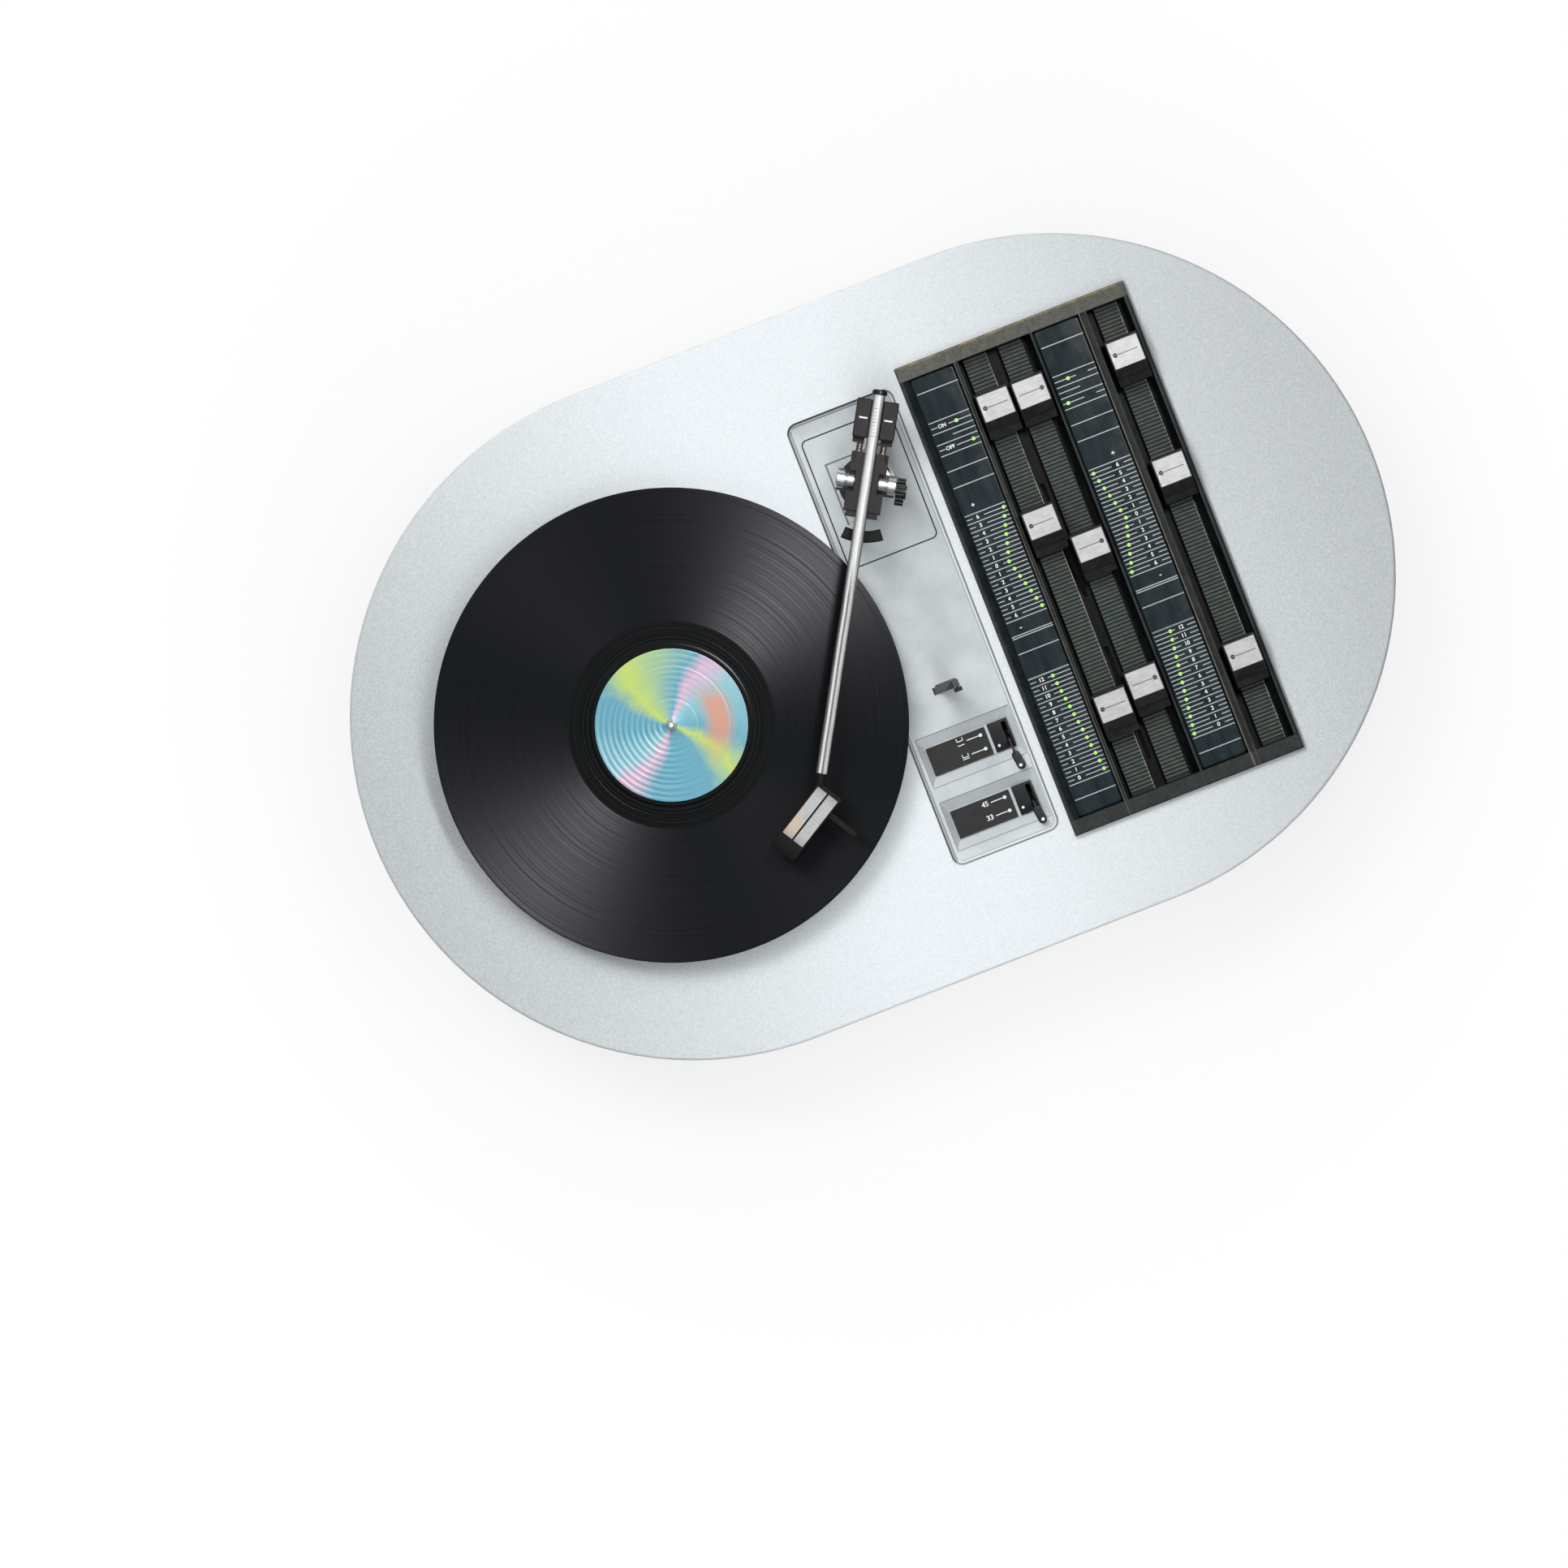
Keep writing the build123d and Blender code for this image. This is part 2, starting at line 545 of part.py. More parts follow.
def arm_latch():
    """The latch on the rest: a pin, a hub and a hook that swings over the parked tube."""
    x, y = REST_AT[0] + 6.6, REST_AT[1]
    z = REST_TOP + 8
    hub = cross_rod(y - 6.2, y - 3.5, x, z, 2.6)
    pin = cross_rod(y - 6.2, y + 2.6, x, z, 1.0)
    outline = [(x - 1.3, z), (x - 1.3, z + 9), (x - 2.6, z + 10.6), (x - 1.2, z + 12), (x + 1.3, z + 10),
               (x + 1.3, z)]
    hook = along_y(outline, y - 6.2, y - 3.5)
    return Pos(x, y, z) * Rot(0, LATCH_OPEN, 0) * Pos(-x, -y, -z) * (hub + pin + hook)


LATCH_OPEN = 8.0  # how far the open latch leans away from the tube


# Tonearm, in a frame whose +X runs to the rear of the arm

YOKE_Z = 91.0
CUP_R = 4.6
CUP_IN = 7.6
CUP_OUT = 18.5
DIAL_AT = (-2.5, 101.5)
DIAL_R = 8.8


def arm_base():
    """The round base on the pedestal with a collar, and the pillar that the bearing turns on."""
    z = STRIP_FLOOR + PEDESTAL_H
    outline = [(0, z - 8), (6.9, z - 8), (6.9, z), (17.4, z), (17.4, z + 2.5), (16, z + 4), (13, z + 4),
               (13, z + 9), (11.5, z + 10.5), (8, z + 10.5), (4, z + 10.5), (4, YOKE_Z + 2), (0, YOKE_Z + 2)]
    return Pos(PIVOT[0], PIVOT[1], 0) * turned(outline)


def bearing_yoke():
    """The U-shaped yoke that turns on the pillar and holds the two bearing cups."""
    base = block(-7, 7, -18.5, 18.5, YOKE_Z, YOKE_Z + 4)
    skirt = turned([(4 + RUNNING_GAP, YOKE_Z - 3), (10, YOKE_Z - 3), (10, YOKE_Z), (4 + RUNNING_GAP, YOKE_Z)])
    yoke = base + skirt - rod(0, 0, YOKE_Z - 1, YOKE_Z + 2.4, 4 + RUNNING_GAP)
    for side in (-1, 1):
        y0, y1 = sorted((side * 14.2, side * 18.5))
        cheek = block(-5.5, 5.5, y0, y1, YOKE_Z, PITCH_Z) + cross_rod(y0, y1, 0, PITCH_Z, 5.5)
        yoke += cheek
        yoke -= cross_rod(y0 - 1, y1 + 1, 0, PITCH_Z, CUP_R)
    yoke -= cross_rod(-19, -14, *DIAL_AT, 1.05)
    return ARM * yoke


def bearing_cups():
    """Two bright stepped cups with the cone points that the arm rocks on."""
    cups = []
    for side in (-1, 1):
        r = CUP_R
        cup = turned([(0, 5.4), (1.1, 6.2), (1.1, CUP_IN), (r - 0.5, CUP_IN), (r, CUP_IN + 0.5), (r, 12),
                      (r - 0.7, 12.4), (r - 0.7, 13.2), (r, 13.6), (r, CUP_OUT), (r - 0.6, CUP_OUT + 0.6),
                      (0, CUP_OUT + 0.6)])
        cups.append(ARM * Pos(0, 0, PITCH_Z) * Rot(-90 * side, 0, 0) * cup)
    return cups


def force_dial():
    """The finger wheel on the far side of the yoke, with a toothed rim."""
    y = -(CUP_OUT + 0.9)
    wheel = Pos(DIAL_AT[0], y, DIAL_AT[1]) * Rot(90, 0, 0) * Cylinder(DIAL_R, 5.6, align=LOW)
    hub = Pos(DIAL_AT[0], y + 4.4, DIAL_AT[1]) * Rot(90, 0, 0) * Cylinder(1.0, 5, align=LOW)
    boss = Pos(DIAL_AT[0], y - 5.6, DIAL_AT[1]) * Rot(90, 0, 0) * Cylinder(4.5, 1, align=LOW)
    teeth = 18
    for n in range(teeth):
        a = 2 * pi * n / teeth
        notch = Pos(DIAL_AT[0] + DIAL_R * cos(a), y + 1, DIAL_AT[1] + DIAL_R * sin(a)) * Rot(90, 0, 0)
        wheel -= notch * Cylinder(1.1, 8, align=LOW)
    return ARM * (wheel + hub + boss)


def arm_tube():
    """The straight bright tube, bored through."""
    length = TUBE_REAR - TUBE_FRONT
    tube = Pos(TUBE_FRONT, 0, ARM_Z) * Rot(0, 90, 0) * (
        Cylinder(TUBE_R, length, align=LOW) - Cylinder(TUBE_BORE_R, length, align=LOW))
    return ARM * tube


def tube_end_cap():
    """The black plug and collar at the rear of the tube."""
    x = TUBE_REAR
    plug_r = TUBE_BORE_R - 0.05
    outline = [(0, -9), (plug_r, -9), (plug_r, 0), (4.8, 0), (4.8, 2), (4.2, 3.2), (0, 3.2)]
    return ARM * Pos(x, 0, ARM_Z) * Rot(0, 90, 0) * turned(outline)


def tube_groove(x0, x1, r):
    """The round seat along the tube, open at the top."""
    channel = Pos(x0, 0, ARM_Z) * Rot(0, 90, 0) * Cylinder(r, x1 - x0, align=LOW)
    return channel + block(x0, x1, -r, r, ARM_Z, ARM_Z + 12)


BLOCK_X = (-22.5, 19.0)
BLOCK_HALF = 11.8
BLOCK_Z = (98.5, 109.6)
WAIST = 7.3


def arm_block():
    """The moulded carriage under the tube, waisted where the bearing cups reach in."""
    x0, x1 = BLOCK_X
    body = plate((x0 + x1) / 2, 0, x1 - x0, 2 * BLOCK_HALF, 1, *BLOCK_Z)
    for side in (-1, 1):
        y0, y1 = sorted((side * WAIST, side * 20))
        body -= block(-6.4, 6.4, y0, y1, 80, 130)
        body -= block(x0 - 1, x0 + 3.4, *sorted((side * (BLOCK_HALF - 1.6), side * 20)), 80, 130)
        seat = Pos(0, side * (WAIST - 2.2), PITCH_Z) * Rot(-90 * side, 0, 0)
        body -= seat * Cylinder(1.3, 5, align=LOW)
        body -= block(x1 - 5, x1 + 1, *sorted((side * (BLOCK_HALF - 2.4), side * 20)), BLOCK_Z[1] - 3, 130)
    body -= block(x0 - 1, x0 + 4, -20, 20, BLOCK_Z[1] - 1.4, 130)
    for side in (-1, 1):
        body -= Pos(x1 - 6, side * ROD_Y, ROD_Z) * Rot(0, 90, 0) * Cylinder(ROD_R, 20, align=LOW)
    return ARM * (body - tube_groove(x0 - 2, x1 + 2, TUBE_R + 0.02))


ROD_Y = 7.6
ROD_Z = 103.0
ROD_R = 2.3


def weight_rods():
    """Two threaded rods from the carriage, on which the counterweight slides."""
    rods = []
    for side in (-1, 1):
        x0 = BLOCK_X[1] - 6
        outline = [(0, 0), (ROD_R, 0)]
        for n in range(5):
            z = 6.5 + 1.1 * n
            outline += [(ROD_R, z), (ROD_R - 0.45, z + 0.35), (ROD_R - 0.45, z + 0.7), (ROD_R, z + 1.05)]
        outline += [(ROD_R, 28), (0, 28)]
        rods.append(ARM * Pos(x0, side * ROD_Y, ROD_Z) * Rot(0, 90, 0) * turned(outline))
    return rods


WEIGHT_X = (28.0, 52.6)
WEIGHT_HALF = 13.3
WEIGHT_Z = (97.0, 110.6)


def counterweight():
    """The square counterweight, saddled over the rods and under the tube, with two front lugs."""
    x0, x1 = WEIGHT_X
    body = plate((x0 + x1) / 2, 0, x1 - x0, 2 * WEIGHT_HALF, 1, *WEIGHT_Z)
    body = chamfer(top_edges(body, WEIGHT_Z[1]), 0.7)
    for side in (-1, 1):
        y0, y1 = sorted((side * 5.2, side * (WEIGHT_HALF - 0.6)))
        body += block(x0 - 3.4, x0 + 1, y0, y1, WEIGHT_Z[0], WEIGHT_Z[1] - 5)
        body -= Pos(x0 - 6, side * ROD_Y, ROD_Z) * Rot(0, 90, 0) * Cylinder(ROD_R + 0.08, 24, align=LOW)
        y0, y1 = sorted((side * 5.6, side * 10.8))
        body -= block((x0 + x1) / 2 - 0.3, (x0 + x1) / 2 + 0.3, y0, y1, WEIGHT_Z[1] - 0.3, 130)
    return ARM * (body - tube_groove(x0 - 5, x1 + 2, TUBE_R + 0.35))


HEAD_REAR, HEAD_FRONT, HEAD_HALF = -20.9, 29.4, 9.0
HEAD_Z = (105.4, 111.4)
HEAD_WALL = 1.4


def headshell():
    """The channel-shaped headshell with its neck, which plugs into the tube."""
    shell = plate((HEAD_REAR + HEAD_FRONT) / 2, 0, HEAD_FRONT - HEAD_REAR, 2 * HEAD_HALF, 1, *HEAD_Z)
    shell -= block(HEAD_REAR + HEAD_WALL, HEAD_FRONT - HEAD_WALL, HEAD_WALL - HEAD_HALF, HEAD_HALF - HEAD_WALL,
                   HEAD_Z[0] - 1, HEAD_Z[1] - 2)
    nose = [(HEAD_FRONT - 5, HEAD_Z[1] + 1), (HEAD_FRONT + 1, HEAD_Z[1] + 1), (HEAD_FRONT + 1, HEAD_Z[1] - 2.4)]
    shell -= along_y(nose, -12, 12)
    for side in (-1, 1):
        shell -= rod(CARTRIDGE_X, side * 6.35, 100, 120, 1.25)
    neck = Pos(TUBE_FRONT + 8, 0, ARM_Z) * Rot(0, -90, 0) * Cylinder(TUBE_BORE_R - 0.05, 8, align=LOW)
    neck += Pos(TUBE_FRONT, 0, ARM_Z) * Rot(0, -90, 0) * Cone(3.4, 2.7, 12, align=LOW)
    seat = block(-18.4, 18.4, -7.9, 7.9, HEAD_Z[1] - 0.5, HEAD_Z[1] + 1)
    return HEAD * shell + ARM * neck - HEAD * seat


CARTRIDGE_X = 14.0


def headshell_plates():
    """The two pale plates let into the top of the headshell, with a dark gap between them."""
    z = HEAD_Z[1] - 0.5
    return [HEAD * plate(0, side * 4.25, 36.4, 7.2, 0.4, z, z + 0.9) for side in (-1, 1)]


def cartridge():
    """The pick-up under the front of the headshell, tapered at the nose, with its four terminal pins."""
    low, high = STYLUS_Z + 3.4, HEAD_Z[1] - 2
    outline = [(HEAD_FRONT - 1.8, high), (HEAD_FRONT - 1.8, high - 5), (24.5, low + 1.6), (9, low),
               (-2, low + 2.4), (-2, high)]
    body = along_y(outline, -7.2, 7.2)
    for n in range(4):
        y = -4.5 + 3 * n
        body += Pos(-7, y, high - 2.6 - 1.6 * (n % 2)) * Rot(0, 90, 0) * Cylinder(0.6, 6, align=LOW)
    for side in (-1, 1):
        body -= rod(CARTRIDGE_X, side * 6.35, 90, 120, 1.3)
    return HEAD * body


STYLUS_Z = RECORD_TOP + 0.1


def stylus():
    """The removable stylus: a wedge-shaped holder, the cantilever and its conical tip."""
    z = STYLUS_Z
    outline = [(8, z + 3.3), (9.5, z + 1.9), (18, z + 2.4), (23, z + 4.5), (19, z + 4.1), (9.5, z + 3.3)]
    holder = along_y(outline, -3.2, 3.2)
    arm = along_y([(17, z + 2.9), (20.7, z + 1.3), (20.3, z + 0.8), (16.4, z + 2.3)], -0.4, 0.4)
    tip = Pos(20.3, 0, z) * Cone(0.08, 0.4, 1.2, align=LOW)
    return HEAD * (holder + arm + tip)


def finger_lift():
    """The thin bent bar at the side of the headshell that a finger raises."""
    z = HEAD_Z[1] - 3.4
    y0 = HEAD_HALF
    outline = [(y0, z), (y0 + 12, z), (y0 + 19.5, z + 3), (y0 + 20.6, z + 3), (y0 + 20.6, z + 4.4),
               (y0 + 19, z + 4.4), (y0 + 11.6, z + 1.4), (y0, z + 1.4)]
    bar = along_x(outline, -10.6, -6.8)
    return HEAD * bar


def headshell_screws():
    """The two small screws that hold the cartridge in the headshell."""
    return [HEAD * (rod(CARTRIDGE_X, side * 6.35, HEAD_Z[0] - 6, HEAD_Z[1] - 0.6, 1.2)) for side in (-1, 1)]


def lift_bar():
    """The curved rail under the tube that the lift lever raises, on its post."""
    top = ARM_Z - TUBE_R - LIFT_GAP
    start, sweep = 43.5, 42
    inner, outer = LIFT_R
    arc = turned([(inner, top - 3.4), (outer, top - 3.4), (outer, top - 0.8), (outer - 0.8, top),
                  (inner + 0.8, top), (inner, top - 0.8)])
    wedge = [(0, 0)]
    for n in range(5):
        a = radians(180 + start + sweep * n / 4)
        wedge.append((60 * cos(a), 60 * sin(a)))
    cutter = extrude(make_face(Polyline(*wedge, close=True)), amount=200)
    arc = arc & cutter
    return Pos(PIVOT[0], PIVOT[1], 0) * arc + rod(*LIFT_POST, 52, top - 2, 2.2)


# Slider desk

def fader_slot(column, line_y, down, up):
    """The slot in the channel's floor that one stem runs in."""
    x = COLUMNS[column] + STEM_OFFSET
    return block(x - 1.7, x + 1.7, line_y + down - 5, line_y + up + 5, 40, CHANNEL_Z + 1)


SCALE_X = {"scale_strip_left": (82.5, 112.6), "scale_strip_right": (166.2, 197.6)}
CHANNELS = ((115.4, 164.6), (203.0, 228.7))


def desk_bezel():
    """The dark moulded tub: a rim that lies on the deck, two beds for the scales and two deep channels."""
    y = DESK_HALF_Y
    bezel = block(DESK_X[0], DESK_X[1], -y, y, DECK_Z, DESK_TOP)
    bezel = chamfer([e for e in top_edges(bezel, DESK_TOP)], 0.8)
    inset = LIP + 0.2
    bezel += block(DESK_X[0] + inset, DESK_X[1] - inset, inset - y, y - inset, DESK_BOTTOM, DECK_Z + 0.5)
    for x0, x1 in CHANNELS:
        bezel -= block(x0, x1, -CHANNEL_HALF_Y, CHANNEL_HALF_Y, CHANNEL_Z, 90)
    for x0, x1 in SCALE_X.values():
        bezel -= block(x0, x1, -CHANNEL_HALF_Y, CHANNEL_HALF_Y, 71, 90)
        bezel -= block(x0 + 2, x1 - 2, 3 - CHANNEL_HALF_Y, CHANNEL_HALF_Y - 3, 50, 68.5)
    bezel -= along_y([(78.4, DESK_TOP + 1), (78.4, DESK_TOP - 0.4), (82.5, DECK_Z + 0.4), (82.6, DESK_TOP + 1)],
                     -CHANNEL_HALF_Y, CHANNEL_HALF_Y)
    bezel -= along_y([(198.2, DESK_TOP + 1), (199.2, DESK_TOP - 1.2), (201.4, DESK_TOP - 1.2), (202.4, DESK_TOP + 1)],
                     -CHANNEL_HALF_Y, CHANNEL_HALF_Y)
    for fader in FADERS.values():
        bezel -= fader_slot(*fader)
    return bezel


def scale_strip(x0, x1):
    """A long glossy scale with rounded long edges and rounded corners."""
    gap, r = 0.3, 2.6
    top = DESK_TOP - 1.6
    strip = plate((x0 + x1) / 2, 0, x1 - x0 - 2 * gap, 2 * (CHANNEL_HALF_Y - gap), 2.5, 71, top)
    sides = [e for e in top_edges(strip, top)]
    return fillet(sides, r - 1)


def ribbed_strips():
    """The three ribbed strips on the channel floors, one rib every 2.5 mm."""
    strips = []
    half = CHANNEL_HALF_Y - 0.5
    count = int(2 * half / RIB_PITCH)
    base = CHANNEL_Z + 4
    for x in COLUMNS.values():
        outline = [(-half, CHANNEL_Z), (half, CHANNEL_Z), (half, base)]
        for n in range(count):
            y = half - 0.4 - n * RIB_PITCH
            outline += [(y, base), (y - 0.4, base + RIB_H), (y - 1.3, base + RIB_H), (y - 1.7, base)]
        outline.append((-half, base))
        strips.append(along_x(outline, x - 9.2, x + 6.3))
    return strips


def fader(column, line_y):
    """One cap: a dark stepped body with its stem and square hole, and the pale plate on top."""
    x = COLUMNS[column]
    side = -1 if column != "b" else 1
    low = CHANNEL_Z + 6.4
    outline = [(10.4, low), (10.4, CAP_TOP - 2.2), (9.2, CAP_TOP - 0.9), (-8.9, CAP_TOP - 0.9), (-14.8, CAP_TOP - 6.4),
               (-15.2, CAP_TOP - 8.2), (-20, CAP_TOP - 11), (-20.2, low)]
    body = along_x([(line_y + y, z) for y, z in outline], x - 10.7, x + 10.7)
    inside = [(8.6, low - 1), (8.6, CAP_TOP - 4), (-8.4, CAP_TOP - 4), (-13.4, CAP_TOP - 10), (-18.2, low + 3),
              (-18.2, low - 1)]
    hollow = along_x([(line_y + y, z) for y, z in inside], x - 9.0, x + 8.2)
    stem = block(x + STEM_OFFSET - 1.1, x + STEM_OFFSET + 1.1, line_y - 3, line_y + 3, STEM_BOTTOM, low + 4)
    dimple = rod(x + side * 7.2, line_y, CAP_TOP - 0.9, CAP_TOP + 1, 1.35)
    line = block(x - 8, x + 8, line_y - 0.25, line_y + 0.25, CAP_TOP - 0.25, CAP_TOP + 1)
    face = plate(x, line_y, 20, 17, 0.5, CAP_TOP - 0.9, CAP_TOP) - dimple - line
    return body - hollow + stem, face


def slide_pots():
    """The nine slide controls under the desk, each a long case with a slot for the stem's end."""
    pots = []
    for column, line_y, down, up in FADERS.values():
        x = COLUMNS[column] + STEM_OFFSET
        y0, y1 = line_y + down - 7, line_y + up + 7
        case = block(x - 5, x + 5, y0, y1, 50, DESK_BOTTOM)
        pots.append(case - block(x - 1.5, x + 1.5, y0 + 1.6, y1 - 1.6, 54, 70))
    return pots


os.makedirs("parts", exist_ok=True)
SINGLE = (
    deck_shell, base_pan, rear_panel, mains_inlet, bearer_plate, bearing_housing, spindle, sub_platter, platter,
    platter_mat, record, record_label, drive_motor, motor_pulley, drive_belt, amplifier_board, transformer,
    control_strip, arm_rest, arm_latch, arm_base, bearing_yoke, force_dial, arm_tube, tube_end_cap, arm_block,
    counterweight, headshell, cartridge, stylus, finger_lift, lift_bar, desk_bezel,
)
GROUPS = (
    feet, casing_screws, phono_sockets, bearer_screws, capacitors, label_plates, lever_guides, bearing_cups,
    weight_rods, headshell_plates, headshell_screws, ribbed_strips, slide_pots,
)
for make in SINGLE:
    save(make.__name__, make())
for make in GROUPS:
    save(make.__name__, *make())
for name, (x0, x1) in SCALE_X.items():
    save(name, scale_strip(x0, x1))
save("lift_lever", lever(POCKETS[0], -87.2, -100.5))
save("speed_lever", lever(POCKETS[1], -129.4, -137.5))
for name, (column, line_y, down, up) in FADERS.items():
    save(name, *fader(column, line_y))
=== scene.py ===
"""Dresses a stadium-shaped record player: its finishes, prints, record grooves and label.

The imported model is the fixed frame. +X runs along the player to the slider desk, +Y to the rear and +Z up, in
metres.
"""

import math

import bmesh
import bpy
from mathutils import Matrix, Vector

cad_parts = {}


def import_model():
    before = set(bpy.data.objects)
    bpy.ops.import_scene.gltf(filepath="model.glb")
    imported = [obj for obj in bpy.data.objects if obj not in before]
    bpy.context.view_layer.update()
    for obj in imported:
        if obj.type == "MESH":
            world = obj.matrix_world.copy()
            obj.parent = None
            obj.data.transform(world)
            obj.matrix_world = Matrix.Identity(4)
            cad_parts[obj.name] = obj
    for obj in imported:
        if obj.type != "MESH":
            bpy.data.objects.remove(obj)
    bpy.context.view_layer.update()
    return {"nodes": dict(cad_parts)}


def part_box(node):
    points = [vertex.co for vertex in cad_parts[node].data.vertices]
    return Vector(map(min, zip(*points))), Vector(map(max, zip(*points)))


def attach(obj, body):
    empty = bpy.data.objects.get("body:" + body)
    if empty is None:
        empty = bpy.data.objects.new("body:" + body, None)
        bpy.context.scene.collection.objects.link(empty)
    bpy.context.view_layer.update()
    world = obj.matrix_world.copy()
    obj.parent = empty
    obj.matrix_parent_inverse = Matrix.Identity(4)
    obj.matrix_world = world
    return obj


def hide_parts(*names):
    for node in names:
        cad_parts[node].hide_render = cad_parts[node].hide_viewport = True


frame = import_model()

MM = 0.001
NODES = frame["nodes"]

# Where things are, from the frame
DECK_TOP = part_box("deck_shell")[1].z
RECORD_LOW, RECORD_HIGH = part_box("record")
LABEL_LOW, LABEL_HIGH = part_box("record_label")
SPINDLE = (RECORD_LOW + RECORD_HIGH) / 2
LABEL_R = (LABEL_HIGH.x - LABEL_LOW.x) / 2

# The tonearm
PIVOT = Vector((33.5 * MM, 98 * MM, 0))
ARM_ANGLE = math.radians(60)  # the way the rear of the arm points
TUBE_R = 3.8  # millimetres
HEAD_AT = (-214.3, 3.0)  # the headshell's origin behind the pivot and to the left of the arm, in millimetres
HEAD_TURN = math.radians(150.7)  # how far the headshell is turned from the arm
CHEEK_Z = 95.4 * MM  # where the yoke's bright cheeks begin, above its black plate

# The strip beside the platter: its floor, its sides and the pedestal under the arm
STRIP_FLOOR = DECK_TOP - 1.6 * MM
STRIP_X = (1.4 * MM, 66.6 * MM)  # where the left and right slopes begin
STRIP_Y = 146.6 * MM  # where the front and rear slopes begin
PEDESTAL_HALF = (20.2 * MM, 20.7 * MM)
POCKETS_REAR = -60 * MM  # the lever pockets are in front of this

# The slider desk
DESK_BAR_Y = 149 * MM  # the bars across the desk's ends begin here
RAIL_TOP = 77.2 * MM
CHANNEL_FLOOR = 66 * MM
RAILS = ((76.0, 76.8, (0.070, 0.062, 0.044)), (112.9, 113.6, (0.110, 0.100, 0.066)),
         (114.8, 115.4, (0.060, 0.064, 0.062)), (164.6, 165.1, (0.050, 0.058, 0.060)),
         (197.7, 199.2, (0.150, 0.138, 0.108)), (201.4, 202.1, (0.085, 0.080, 0.062)),
         (228.7, 229.2, (0.060, 0.064, 0.060)))  # from and to along X in millimetres, and the tone of its worn stripe, which is also a painted highlight
RIB_EDGES = (134.5, 223.3)  # the worn right edges of two ribbed strips, lightened also as a painted highlight, in millimetres
CAP_PLATE = 0.9 * MM  # the thickness of a fader's aluminium face
GRIP_HEIGHT = 3.8 * MM  # the height of a lever's black grip

RUN_OUT_R = 65.9 * MM  # inside this the record has no music

# Print and paint colours, as linear values
PRINT_GREY = (0.33, 0.37, 0.39)
PRINT_WHITE = (0.78, 0.80, 0.80)
DOT_GREEN = (0.36, 0.86, 0.03)
PRINT_LIFT = 0.04 * MM  # how far a print stands off what it is on


def arm_point(back, side, z):
    """A point in the arm's frame: back along the arm from its pivot, and to its left, in millimetres."""
    c, s = math.cos(ARM_ANGLE), math.sin(ARM_ANGLE)
    return Vector((PIVOT.x + (back * c - side * s) * MM, PIVOT.y + (back * s + side * c) * MM, z))


# Shader nodes


